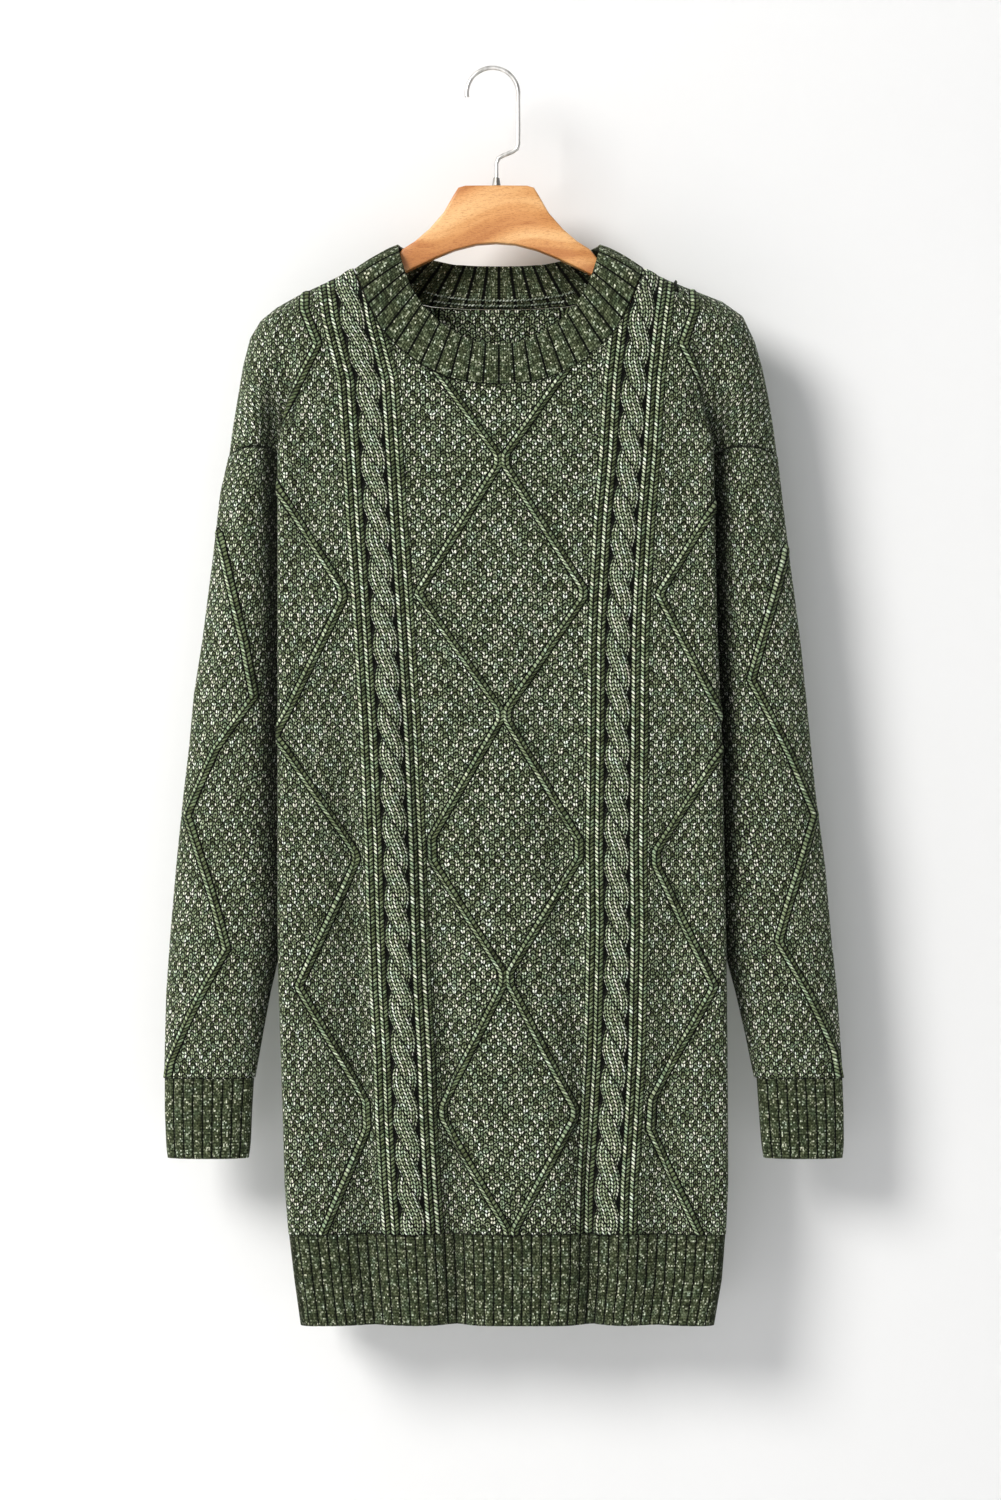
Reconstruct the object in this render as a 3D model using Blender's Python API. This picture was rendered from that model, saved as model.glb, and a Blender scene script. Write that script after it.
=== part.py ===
"""Cable-knit sweater dress on a wooden hanger, built as the cloth pieces that a maker knits and links.

Metres, +Z up, front towards -Y.  The origin is the inside top of the hanger's hook, where a rod carries it.
Tables are in millimetres and are turned into metres when a piece is made.
"""

import math

import bmesh
import bpy
import numpy as np
from mathutils import Vector

MM = 0.001

# ---- cloth ----
WALL = 2.4               # thickness of the plain knitted wall
SEAM_GAP = 0.4           # free space between two pieces that are linked together
MOSS = 0.6               # moss stitch stands this much over the grooves beside the cables
RIB_HEIGHT = 1.3         # crest of a rib over its groove
RIDGE_HEIGHT = 1.9       # travelling-stitch ridge over the moss stitch
CABLE_HEIGHT = 2.6       # highest strand of a cable over its groove
CABLE_HALF_WIDTH = 10.0
CABLE_PITCH = 28.0       # from one crossing of the strands to the next
CABLE_ROWS = 4           # rows of points in one crossing
STRAND_HALF_WIDTH = 7.2
STRAND_SWING = 3.4       # each strand's middle goes this far to both sides
FLANK_RIB = 7.0          # spacing of the knit columns beside a cable
FLANK_RIBS = 2
RIDGE_HALF_WIDTH = 3.6

# ---- body ----
BODY_DEPTH = 30.0        # from the middle plane to the front face, and to the back face
BACK_DEPTH = 28.0
FOLD_RADIUS = 7.5        # long side fold where the body laps over the sleeve
SHOULDER_ROUND = 40.0    # distance over which the shoulder rolls from its seam to the full depth
SLEEVE_DEPTH = 12.5      # half the thickness of a hanging sleeve
SLEEVE_ROUND = 26.0
HEM_TOP = -905.0
HEM_BOTTOM = -975.0
UNDERARM_Z = -445.0
ARMHOLE_Z = -302.0       # height at which the drop-shoulder seam shows
FOLD_START_Z = -236.0    # the side folds begin here
FOLD_FULL_Z = -300.0     # and are made up from here down

# height, outer side folds, side seams in the bottom of the side folds, centre line, centres of the two cables
BODY_COLUMNS = ("z", "fold_left", "fold_right", "seam_left", "seam_right", "centre", "cable_left",
                "cable_right")
BODY_TABLE = (
    (-130, -166, 171, -166, 171, 4.5, -118, 124),
    (-198, -166, 171, -166, 171, 5.8, -108, 114.5),
    (-244, -166, 171, -166, 171, 6.6, -96.3, 109.5),
    (-302, -166, 171, -163, 168, 7.0, -92.4, 106),
    (-352, -166, 172, -148, 156, 7.2, -89.3, 101.8),
    (-411, -166, 173, -127, 140, 7.5, -85.2, 98.5),
    (-445, -166, 174, -115, 130, 7.9, -83.0, 97.2),
    (-520, -166, 177, -114, 129, 8.7, -78.6, 96.6),
    (-606, -166, 179, -116, 131, 9.6, -75.0, 95.6),
    (-665, -166, 180.3, -120, 136, 10.2, -73.3, 96.4),
    (-715, -165.2, 181, -125, 143, 10.8, -71.4, 95.5),
    (-766, -163.4, 181.5, -131, 150, 11.5, -68.4, 94.4),
    (-816, -161.8, 181.8, -136, 157, 12.2, -66.7, 91.7),
    (-867, -160.4, 182, -140, 161, 13.4, -64.0, 88.6),
    (-905, -157.4, 180.2, -141, 163, 14.4, -61.2, 87.6),
    (-940, -153.3, 177.5, -138, 161, 14.2, -58, 86),
    (-975, -148.4, 171.5, -134, 157, 13.8, -56, 84),
)

# shoulder seam, from the neck outwards, then down the drop shoulder to the sleeve seam: left x, z, right x, z
SHOULDER_TABLE = (
    (-77.6, -137.5, 80.7, -138.5),
    (-108.0, -155.0, 112.0, -152.5),
    (-131.4, -166.9, 137.7, -164.6),
    (-151.7, -176.3, 160.0, -173.5),
    (-168.1, -185.6, 179.0, -181.0),
    (-180.6, -195.8, 195.0, -192.5),
    (-189.0, -210.0, 204.5, -213.0),
    (-194.6, -232.4, 210.5, -234.0),
    (-198.5, -256.0, 215.5, -258.0),
    (-203.0, -283.0, 219.6, -284.0),
    (-205.5, -302.0, 221.9, -302.0),
)

# sleeve outline by height: z, outer and inner edge of the left sleeve, outer and inner edge of the right one
SLEEVE_TABLE = (
    (-302, -205.5, -107, 221.9, 120),
    (-330, -211.8, -108.5, 225.0, 122),
    (-384, -218.0, -111.8, 231.5, 126),
    (-445, -225.8, -116.6, 239.5, 131.8),
    (-487, -232.4, -124.3, 243.8, 139.4),
    (-527, -236.0, -132.6, 247.7, 147.6),
    (-566, -240.6, -140.7, 251.6, 155.7),
    (-620, -246.1, -152.0, 258.8, 166.8),
    (-675, -250.8, -163.4, 263.5, 178.2),
    (-719, -253.9, -173.6, 268.2, 190.0),
    (-752, -254.8, -179.6, 270.4, 197.6),
    (-786, -255.5, -185.6, 272.6, 204.5),
)
CUFF_BOTTOM = -848.0
# the same columns for the two cuffs
CUFF_TABLE = (
    (-786, -255.5, -186.0, 272.6, 206.0),
    (-812, -255.4, -187.6, 273.6, 207.8),
    (-836, -254.4, -188.6, 273.8, 209.6),
    (-848, -253.4, -190.0, 273.0, 211.2),
)
CUFF_RIBS = 18           # ribs round one cuff
HEM_RIBS = 43            # ribs across the hem's front, and across its back

# travelling ridges: distance from the centre line by height
CENTRE_RIDGE = ((-236, 51), (-306.5, 0), (-409.5, 65), (-503, 0), (-607, 61.5), (-706, 0), (-811, 53),
                (-905, 0))
SIDE_RIDGE = ((-190, 151), (-217, 141), (-280, 167), (-336, 171), (-410, 121), (-519, 170), (-613, 113.5),
              (-713, 160.5), (-812, 104.5), (-905, 146))
# ridges on the sleeves: share of the way from the outer to the inner edge, by height
SLEEVE_RIDGE_LEFT = ((-302, 0.02), (-330, 0.04), (-438, 0.34), (-489, 0.44), (-530, 0.21), (-581, 0.05),
                     (-685, 0.53), (-774, 0.06), (-786, 0.04))
SLEEVE_RIDGE_RIGHT = ((-302, 0.16), (-381, 0.04), (-476, 0.4), (-537, 0.17), (-581, 0.03), (-679, 0.5),
                      (-765, 0.07), (-786, 0.04))

# soft hanging folds of the body: route of each (x by height), its depth by height, and its half width
FOLD_ROUTES = (
    {"x": ((-400, -114), (-700, -106), (-905, -94), (-975, -88)), "depth": ((-420, 0), (-600, 5), (-975, 5)),
     "width": 21},
    {"x": ((-400, -58), (-560, -54), (-700, -37), (-975, -28)), "depth": ((-400, 0), (-560, 5), (-975, 8)),
     "width": 15},
    {"x": ((-400, 45), (-600, 55), (-700, 68), (-975, 79)), "depth": ((-400, 0), (-640, 3.5), (-975, 8)),
     "width": 14},
    {"x": ((-500, 140), (-975, 128)), "depth": ((-560, 0), (-800, 2.5), (-975, 4)), "width": 18},
)

# ---- collar ----
# Stations from the front centre round to the back centre: x, y, z of the seam and x, y, z of the free edge.
# The x values count from NECK_X, and both sides of the neck have them.
COLLAR_TABLE = (
    (0.0, -30.2, -248.4, 0.0, -29.5, -217.0),
    (20.0, -30.2, -247.2, 16.5, -29.0, -215.4),
    (41.0, -30.2, -242.8, 31.0, -28.3, -209.6),
    (61.0, -30.0, -232.6, 46.0, -27.0, -199.6),
    (78.0, -29.4, -219.6, 58.0, -25.0, -187.5),
    (92.0, -27.6, -204.0, 67.5, -21.8, -173.5),
    (102.5, -23.0, -183.0, 73.6, -15.8, -157.0),
    (110.0, -13.5, -164.0, 77.6, -10.5, -143.2),
    (112.4, 0.0, -157.0, 78.6, 0.5, -136.6),
    (108.5, 12.0, -159.5, 75.5, 11.0, -137.4),
    (97.0, 20.0, -167.5, 66.0, 18.0, -141.0),
    (78.0, 25.0, -176.0, 52.0, 22.5, -145.4),
    (54.0, 27.4, -181.5, 36.0, 25.0, -148.4),
    (27.0, 28.2, -183.6, 18.0, 26.0, -149.4),
    (0.0, 28.3, -184.0, 0.0, 26.2, -149.6),
)
SIDE_STATION = 8         # the station over the shoulder seam, between the front neckline and the back one
NECK_X = 5.0
COLLAR_RIBS = 38
NECK_EASE = 0.03         # share of the band left free at its seam, so that it clears the panels
INNER_END = 0.96         # the inner face stops at this share of the band's height
COLLAR_BULGE = 1.2       # the band's middle stands out this much

# ---- hanger ----
YOKE_HALF_THICKNESS = 6.0
YOKE_X = 2.8
YOKE_EASE = 1.4          # eased edges of the wood
YOKE_TOP_Z = -91.0
# upper and lower outline of the shaped middle, from its centre outwards on one side
YOKE_UPPER = ((0, -90.6), (24, -90.8), (29.5, -92.4), (33, -98), (41, -112), (52, -124.5), (63, -134),
              (73, -140.4))
YOKE_LOWER = ((0, -135.5), (15, -136.6), (32, -141), (48, -147.4), (63, -154.6), (78, -162))
ARM_DROP = 6.2           # the arm's top edge lies this far under the shoulder seam
ARM_NECK_DROP = 13.0     # and this far where it passes under the neckband
ARM_NECK_X = 126.0       # distance from the neck at which it has come up to that height
ARM_HEIGHT = 24.0
ARM_TAPER = 8.0          # the arm's end is this much lower than its start
ARM_END_X = 174.0
ARM_START = 9.0          # from the shaped middle's last point to the first one of the arm
LEFT_ARM_SHORTER = 12.0
WIRE_RADIUS = 1.75
HOOK_INNER_RADIUS = 18.3
HOOK_RUN_Z = -58.0       # bottom of the hook's straight side
STEM_X = 3.0
STEM_TOP_Z = -70.0
FERRULE_RADIUS = 3.4
FERRULE_TOP_RADIUS = 2.4
FERRULE_HEIGHT = 6.0
FERRULE_LIFT = 0.7       # free space under it

# ---- spacing of the columns and rows of points ----
PANEL_BOTTOM = HEM_TOP + SEAM_GAP
ROW_STEP = 55.0          # rows on plain cloth
INNER_STEP = 75.0        # rows on the plain inner face
CAP_STEP = 24.0          # rows on the shoulder caps
TOP_STEPS = (0.0, 0.9, 3.5, 9.0, 18.0)     # rows under the shoulder seam, where the cloth rolls over
FOLD_ROWS = (FOLD_START_Z, -268.0, -302.0, -326.0, -352.0, -382.0, -411.0, -445.0, -470.0)
# columns of a body panel from its side seam to the front, and their places while the cloth is still flat
EDGE_COLUMNS = ("seam", "corner", "behind", "fold_back", "fold_tip", "fold_front", "fold_start")
FLAT_STEP = (0.0, 3.0, 6.0, 9.0, 12.0, 15.0, 19.0)
CAP_SHARES = (0.0, 0.12, 0.32, 0.58, 0.82)  # columns of a cap, from its outline to the seam
CABLE_STEPS = 6
SLEEVE_SHARES = (0.0, 0.14, 0.28, "ridge-", "ridge", "ridge+", 0.52, 0.66, 0.8, 0.92, 1.0)
RIDGE_SHARE = 0.4        # the ridge stands between the sleeve columns before and after this share
RIB_STEPS = (0.0, 0.32, 0.72)               # groove, and the two edges of the crest, in one rib
COLLAR_ROWS = (0.0, 0.5, 1.0)
ARM_STEPS = 6
SEARCH_STEP = 0.25       # fineness of a search down a column
PROBE = 0.8              # distance over which a column's own slope is taken
COLLAR_PROBE = 0.004     # share of the way round over which the neckband's direction is taken

# colour, roughness and metallic value of each finish
FINISHES = {
    "green_knit": ((0.085, 0.135, 0.075), 0.92, 0.0),
    "green_rib": ((0.075, 0.12, 0.066), 0.92, 0.0),
    "beech": ((0.72, 0.44, 0.2), 0.42, 0.0),
    "nickel_wire": ((0.62, 0.6, 0.57), 0.28, 1.0),
}


def look_up(table, value, column=1):
    """Straight-line reading of one column of a table whose first column runs downwards."""
    keys = [-row[0] for row in table]
    return float(np.interp(-value, keys, [row[column] for row in table]))


def body(z, name):
    return look_up(BODY_TABLE, z, BODY_COLUMNS.index(name))


def centre_line(z):
    return body(z, "centre")


def ease(low, high, value):
    share = min(max((value - low) / (high - low), 0.0), 1.0)
    return share * share * (3.0 - 2.0 * share)


def roll(share):
    """Quarter ellipse: 0 at the edge of a rolled cloth, 1 where it has come to its full depth."""
    share = min(max(share, 0.0), 1.0)
    return math.sqrt(1.0 - (1.0 - share) ** 2)


def outline(side):
    first = 0 if side < 0 else 2
    return [(row[first], row[first + 1]) for row in SHOULDER_TABLE]


def shoulder_z(x):
    """Height of the shoulder seam over a place across the body."""
    side = -1 if x < NECK_X else 1
    points = outline(side)
    order = points if side > 0 else points[::-1]
    return float(np.interp(x, [p[0] for p in order], [p[1] for p in order]))


def distance_inside(x, z):
    """Shortest distance from a point of the body to the shoulder outline beside it."""
    points = outline(-1 if x < NECK_X else 1)
    best = 1e9
    for (ax, az), (bx, bz) in zip(points, points[1:]):
        run = (bx - ax) ** 2 + (bz - az) ** 2
        share = min(max(((x - ax) * (bx - ax) + (z - az) * (bz - az)) / run, 0.0), 1.0)
        best = min(best, math.hypot(x - ax - share * (bx - ax), z - az - share * (bz - az)))
    return best


def hanging_folds(x, z):
    depth = 0.0
    for fold in FOLD_ROUTES:
        middle = look_up(fold["x"], z)
        depth += look_up(fold["depth"], z) * math.exp(-((x - middle) / fold["width"]) ** 2)
    return depth


def cap_depth(z):
    """Half thickness of the shoulder cap, which thins out to that of the sleeve."""
    return SLEEVE_DEPTH + (BACK_DEPTH - SLEEVE_DEPTH) * ease(ARMHOLE_Z, -190.0, z)


def plain_depth(x, z, full):
    """Distance of the unfolded cloth from the middle plane."""
    side_x = body(z, "fold_left") if x < NECK_X else body(z, "fold_right")
    inwards = x - side_x if x < NECK_X else side_x - x
    mix = ease(2.0, 26.0, inwards)
    depth = cap_depth(z) * (1.0 - mix) + full * mix
    turn = SLEEVE_ROUND + (SHOULDER_ROUND - SLEEVE_ROUND) * mix
    return max(depth * roll(distance_inside(x, z) / turn), SEAM_GAP / 2)


def armhole_depth(z, side):
    """Depth of the hidden armhole seam, from the drop shoulder down to the underarm."""
    seam = body(z, "seam_left" if side < 0 else "seam_right")
    inner = look_up(SLEEVE_TABLE, z, 2 if side < 0 else 4)
    if z <= UNDERARM_Z:
        return SEAM_GAP / 2
    return max(SLEEVE_DEPTH * roll(abs(inner - seam) / SLEEVE_ROUND), SEAM_GAP / 2) + SEAM_GAP / 2


def folded_place(name, z, side, full):
    """Place (distance inwards from the side fold's outer line, depth) of a column in the made-up side fold."""
    key = "left" if side < 0 else "right"
    reach = abs(body(z, "seam_" + key) - body(z, "fold_" + key))
    radius = FOLD_RADIUS
    diagonal = radius * math.sqrt(0.5)
    back_layer = full - 2 * radius
    seam_depth = armhole_depth(z, side)
    corner_share = ease(UNDERARM_Z + 40, UNDERARM_Z - 20, z)
    corner_depth = back_layer * (1 - 0.2 * corner_share)
    places = {
        "seam": (reach, seam_depth),
        "corner": (reach - min(4.0, reach * 0.3), max(corner_depth, seam_depth + 0.4)),
        "behind": (max(reach - 18.0, reach * 0.5), back_layer),
        "fold_back": (radius - diagonal, full - radius - diagonal),
        "fold_tip": (0.0, full - radius),
        "fold_front": (radius - diagonal, full - radius + diagonal),
        "fold_start": (radius, full),
    }
    return places[name]


def edge_point(name, z, side, full):
    """A point of the side columns, where the plain shoulder cloth gathers into the long side fold."""
    key = "left" if side < 0 else "right"
    outer = body(z, "fold_" + key)
    flat_x = outer - side * FLAT_STEP[EDGE_COLUMNS.index(name)]
    folded_in, folded_depth = folded_place(name, z, side, full)
    made_up = ease(FOLD_START_Z, FOLD_FULL_Z, z)
    x = flat_x * (1 - made_up) + (outer - side * folded_in) * made_up
    depth = plain_depth(flat_x, z, full) * (1 - made_up) + folded_depth * made_up
    if name == "fold_start":
        depth -= hanging_folds(x, z) * made_up
    return x, depth


def level(height):
    """Relief that has one height all the way down."""
    def relief(_):
        return height
    return relief


def front_columns():
    """Columns across the face of a body panel: (name, x by height, relief by height, fine rows?)."""
    columns = []

    def add(name, place, relief=level(MOSS), fine=False, inner=False):
        columns.append({"name": name, "x": place, "relief": relief, "fine": fine, "inner": inner})

    def fold_line(side):
        def place(z):
            return edge_point("fold_start", z, side, BODY_DEPTH)[0]
        return place

    def cable(side, offset):
        def place(z):
            return body(z, "cable_left" if side < 0 else "cable_right") - side * offset
        return place

    def side_ridge(side, offset):
        def place(z):
            outer = abs(fold_line(side)(z) - body(z, "centre")) - 3.0
            inner = abs(cable(side, -flank - 3.0)(z) - body(z, "centre"))
            middle = min(max(look_up(SIDE_RIDGE, z), inner + RIDGE_HALF_WIDTH), outer - RIDGE_HALF_WIDTH)
            return body(z, "centre") + side * (middle + offset)
        return place

    def centre_ridge(side, offset):
        def place(z):
            widest = abs(cable(side, flank)(z) - body(z, "centre")) - RIDGE_HALF_WIDTH - 1.0
            middle = min(look_up(CENTRE_RIDGE, z), widest) + offset
            return body(z, "centre") + side * max(middle, 2.6 + 0.55 * offset)
        return place

    def between(first, second, share):
        def place(z):
            return first(z) * (1 - share) + second(z) * share
        return place

    flank = CABLE_HALF_WIDTH + FLANK_RIB * FLANK_RIBS
    moss, crest, groove, ridge = (level(height) for height in (MOSS, RIB_HEIGHT, 0.0, MOSS + RIDGE_HEIGHT))
    for side in (-1, 1):
        part = len(columns)
        outer_edge = side_ridge(side, RIDGE_HALF_WIDTH)
        inner_edge = side_ridge(side, -RIDGE_HALF_WIDTH)
        add("side_field", between(fold_line(side), outer_edge, 0.5), inner=True)
        add("side_ridge", outer_edge)
        add("side_ridge", side_ridge(side, 0.0), ridge)
        add("side_ridge", inner_edge, inner=True)
        add("side_field", between(inner_edge, cable(side, -flank), 0.5))
        for rib in range(FLANK_RIBS):
            start = -flank + rib * FLANK_RIB
            add("flank", cable(side, start), groove if rib else moss, inner=rib == 0)
            add("flank", cable(side, start + FLANK_RIB / 2), crest, inner=True)
        for step in range(CABLE_STEPS):
            share = 2 * step / (CABLE_STEPS - 1) - 1
            edge = step in (0, CABLE_STEPS - 1)
            across = cable(side, share * CABLE_HALF_WIDTH)
            add("cable", across, cable_relief(share, side), fine=True, inner=edge)
        for rib in range(FLANK_RIBS):
            start = CABLE_HALF_WIDTH + rib * FLANK_RIB
            add("flank", cable(side, start + FLANK_RIB / 2), crest)
            last = rib == FLANK_RIBS - 1
            add("flank", cable(side, start + FLANK_RIB), moss if last else groove, inner=last)
        add("centre_field", between(cable(side, flank), centre_ridge(side, RIDGE_HALF_WIDTH), 0.5), inner=True)
        add("centre_ridge", centre_ridge(side, RIDGE_HALF_WIDTH))
        add("centre_ridge", centre_ridge(side, 0.0), ridge)
        add("centre_ridge", centre_ridge(side, -RIDGE_HALF_WIDTH), inner=True)
        add("centre_field", between(centre_ridge(side, -RIDGE_HALF_WIDTH), centre_line, 0.5))
        if side > 0:
            columns[part:] = columns[part:][::-1]
        else:
            add("centre", centre_line, inner=True)
    return columns


def cable_relief(share, side):
    """Height over a cable's width and length: one strand passes over the other, down to the right."""
    def height(z):
        turn = (-z / CABLE_PITCH) % 1.0
        across = -side * share * CABLE_HALF_WIDTH
        swing = STRAND_SWING * math.cos(math.pi * turn)
        over = math.sin(math.pi * turn)
        front = max(0.0, 1.0 - ((across + swing) / STRAND_HALF_WIDTH) ** 2) ** 0.5 * (0.72 + 0.28 * over)
        behind = max(0.0, 1.0 - ((across - swing) / STRAND_HALF_WIDTH) ** 2) ** 0.5 * (0.72 - 0.4 * over)
        return CABLE_HEIGHT * max(front, behind) if abs(share) < 0.99 else 0.0
    return height


# ---- meshes ----

def stitch(mesh, first, second):
    """Triangles between two rows of (position, vertex), whatever the number of points in each."""
    i = j = 0
    while i < len(first) - 1 or j < len(second) - 1:
        take_first = j == len(second) - 1
        if i < len(first) - 1 and j < len(second) - 1:
            take_first = first[i + 1][0] + first[i][0] <= second[j + 1][0] + second[j][0]
        corners = [first[i][1], second[j][1], first[i + 1][1] if take_first else second[j + 1][1]]
        if len(set(corners)) == 3:
            mesh.faces.new(corners)
        if take_first:
            i += 1
        else:
            j += 1


def make_wall(name, finish, outer, inner, closed=False):
    """A cloth piece from the columns of its outer and inner face.

    A column is (position across, [(position down, (x, y, z)), ...]).  The rims join the two faces.
    """
    mesh = bmesh.new()
    faces = []
    for columns in (outer, inner):
        rows = []
        for across, points in columns:
            rows.append((across, [(down, mesh.verts.new(Vector(place) * MM)) for down, place in points]))
        if closed:
            rows.append((1.0, rows[0][1]))
        for (_, left), (_, right) in zip(rows, rows[1:]):
            stitch(mesh, left, right)
        faces.append(rows)
    for end in (0, -1):
        stitch(mesh, *[[(across, points[end][1]) for across, points in rows] for rows in faces])
    if not closed:
        for end in (0, -1):
            stitch(mesh, faces[0][end][1], faces[1][end][1])
    finish_mesh(name, finish, mesh)


def finish_mesh(name, finish, mesh, sharp=40.0):
    bmesh.ops.recalc_face_normals(mesh, faces=mesh.faces)
    data = bpy.data.meshes.new(name)
    mesh.to_mesh(data)
    mesh.free()
    data.materials.append(material(finish))
    data.shade_smooth()
    data.set_sharp_from_angle(angle=math.radians(sharp))
    piece = bpy.data.objects.new(name, data)
    bpy.context.scene.collection.objects.link(piece)
    return piece


def material(finish):
    if finish in bpy.data.materials:
        return bpy.data.materials[finish]
    colour, roughness, metallic = FINISHES[finish]
    made = bpy.data.materials.new(finish)
    made.use_nodes = True
    shader = made.node_tree.nodes["Principled BSDF"]
    shader.inputs["Base Color"].default_value = (*colour, 1.0)
    shader.inputs["Roughness"].default_value = roughness
    shader.inputs["Metallic"].default_value = metallic
    return made


# ---- cloth sheets: columns of points from top to bottom ----
def inward_normal(columns, index, z, top, closed=False):
    """Unit vector into the cloth at a column, from its neighbours on the same height and its own run."""
    count = len(columns)
    before = (index - 1) % count if closed else max(index - 1, 0)
    after = (index + 1) % count if closed else min(index + 1, count - 1)
    left, right = columns[before]["place"](z), columns[after]["place"](z)
    high, low = min(z + PROBE, top), z - PROBE
    upper, lower = columns[index]["place"](high), columns[index]["place"](low)
    across = Vector((right[0] - left[0], right[1] - left[1], 0.0))
    fall = Vector((lower[0] - upper[0], lower[1] - upper[1], low - high))
    return across.cross(fall).normalized()


def sheet_point(columns, index, z, top, lift, closed=False):
    """A point of the outer face, raised by lift (or of the inner face, where lift is minus the wall)."""
    x, y = columns[index]["place"](z)
    inward = inward_normal(columns, index, z, top, closed)
    return (x - inward.x * lift, y - inward.y * lift, z - inward.z * lift)


def rows_between(top, bottom, step, keep=()):
    """Heights from top to bottom: the kept ones, and even steps between them."""
    stops = [top] + [z for z in sorted(keep, reverse=True) if bottom + 5 < z < top - 5] + [bottom]
    rows = []
    for high, low in zip(stops, stops[1:]):
        parts = max(1, round((high - low) / step))
        rows += [high + (low - high) * part / parts for part in range(parts)]
    return rows + [bottom]


def top_of(column, front):
    """Height at which a column of a body panel meets the shoulder seam or the neckline."""
    z = BODY_TABLE[0][0]
    x = column["place"](z)[0]
    while z > min(shoulder_z(x), neckline(x, front)):
        z -= SEARCH_STEP
        x = column["place"](z)[0]
    return z


def neckline(x, front):
    rows = COLLAR_TABLE[:SIDE_STATION + 1] if front else COLLAR_TABLE[SIDE_STATION:][::-1]
    across = [row[0] for row in rows]
    heights = [row[2] for row in rows]
    offset = abs(x - NECK_X)
    if offset >= across[-1]:
        return 0.0
    return float(np.interp(offset, across, heights))


def neck_edge(front):
    """Top ends of a panel's columns along the neckline: rows of x, y, z from left to right."""
    ends = []
    for column in panel_columns(BODY_DEPTH if front else BACK_DEPTH):
        top = top_of(column, front)
        x, y = column["place"](top)
        if abs(x - NECK_X) < COLLAR_TABLE[SIDE_STATION][0] + 6:
            ends.append((x, y if front else -y, top))
    return ends


def face_y(x, z, full):
    made_up = ease(FOLD_START_Z, FOLD_FULL_Z, z)
    depth = plain_depth(x, z, full) * (1 - made_up) + full * made_up
    return -(depth - hanging_folds(x, z))


def panel_columns(full):
    """All columns of a body panel from the left shoulder cap to the right one."""
    def cap(side, share):
        tip = outline(side)[-1][0]

        def place(z):
            x = tip + (edge_point("seam", z, side, full)[0] - tip) * share
            return x, -plain_depth(x, z, full)
        return {"name": "cap", "place": place, "relief": level(MOSS), "inner": share in CAP_SHARES[::2]}

    def edge(side, name):
        def place(z):
            x, depth = edge_point(name, z, side, full)
            return x, -depth

        def relief(z):
            return MOSS * (1 - ease(FOLD_START_Z, FOLD_FULL_Z, z)) if name in EDGE_COLUMNS[:4] else MOSS
        return {"name": name, "place": place, "relief": relief, "inner": True}

    def face(column):
        across = column["x"]

        def place(z):
            x = across(z)
            return x, face_y(x, z, full)
        return {**column, "place": place}

    left = [cap(-1, share) for share in CAP_SHARES] + [edge(-1, name) for name in EDGE_COLUMNS]
    right = [cap(1, share) for share in CAP_SHARES] + [edge(1, name) for name in EDGE_COLUMNS]
    return left + [face(column) for column in front_columns()] + right[::-1]


def column_rows(column, top, at_shoulder):
    name = column["name"]
    bottom = ARMHOLE_Z + SEAM_GAP if name == "cap" else PANEL_BOTTOM
    if top <= bottom:
        return [bottom]
    rows = []
    if at_shoulder:
        rows = [top - step for step in TOP_STEPS if top - step > bottom + 2]
        top = rows.pop()
    if column.get("fine"):
        return rows + rows_between(top, bottom, CABLE_PITCH / CABLE_ROWS)
    if name == "cap":
        return rows + rows_between(top, bottom, CAP_STEP)
    if name == "centre_ridge":
        return rows + rows_between(top, bottom, ROW_STEP, [row[0] for row in CENTRE_RIDGE])
    if name == "side_ridge":
        return rows + rows_between(top, bottom, ROW_STEP, [row[0] for row in SIDE_RIDGE])
    if name in EDGE_COLUMNS:
        return rows + rows_between(top, bottom, ROW_STEP, FOLD_ROWS)
    return rows + rows_between(top, bottom, ROW_STEP)


def body_panel(name, front):
    full = BODY_DEPTH if front else BACK_DEPTH
    columns = panel_columns(full)
    turn = 1 if front else -1
    mesh = bmesh.new()

    def build(inner):
        rows_of_verts = []
        for index, column in enumerate(columns):
            if inner and not column.get("inner"):
                continue
            top = top_of(column, front)
            x_top = column["place"](top)[0]
            at_shoulder = neckline(x_top, front) == 0.0
            make_rows = inner_rows if inner else column_rows
            rows = make_rows(column, top, at_shoulder)
            verts = []
            for z in rows:
                lift = -WALL if inner else column["relief"](z)
                x, y, z_new = sheet_point(columns, index, z, rows[0], lift)
                y = min(y, -SEAM_GAP / 2)
                z_new = z if z == rows[-1] else z_new
                verts.append((-z, mesh.verts.new(Vector((x, turn * y, z_new)) * MM)))
            rows_of_verts.append((index, column["name"], verts))
        first = next(i for i, row in enumerate(rows_of_verts) if row[1] == "seam")
        last = max(i for i, row in enumerate(rows_of_verts) if row[1] == "seam")
        for i, (left, right) in enumerate(zip(rows_of_verts, rows_of_verts[1:])):
            upper_left = above_armhole(left[2]) if i == last else left[2]
            upper_right = above_armhole(right[2]) if i + 1 == first else right[2]
            stitch(mesh, upper_left, upper_right)
        cuts = {"first": rows_of_verts[first][2], "last": rows_of_verts[last][2]}
        edges = [[(index, verts[0][1]) for index, _, verts in rows_of_verts],
                 [(index, verts[-1][1]) for index, _, verts in rows_of_verts[first:last + 1]]]
        for key, span in (("first", rows_of_verts[:first]), ("last", rows_of_verts[last + 1:][::-1])):
            upper = above_armhole(cuts[key])
            corner = upper[-1]
            step = 1 if key == "first" else -1
            edges.append([(step * index, verts[-1][1]) for index, _, verts in span]
                         + [(step * rows_of_verts[first if key == "first" else last][0], corner[1])])
            edges.append(cuts[key][len(upper) - 1:])
        return edges

    for outer_edge, inner_edge in zip(build(False), build(True)):
        stitch(mesh, outer_edge, inner_edge)
    return finish_mesh(name, "green_knit", mesh)


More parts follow.
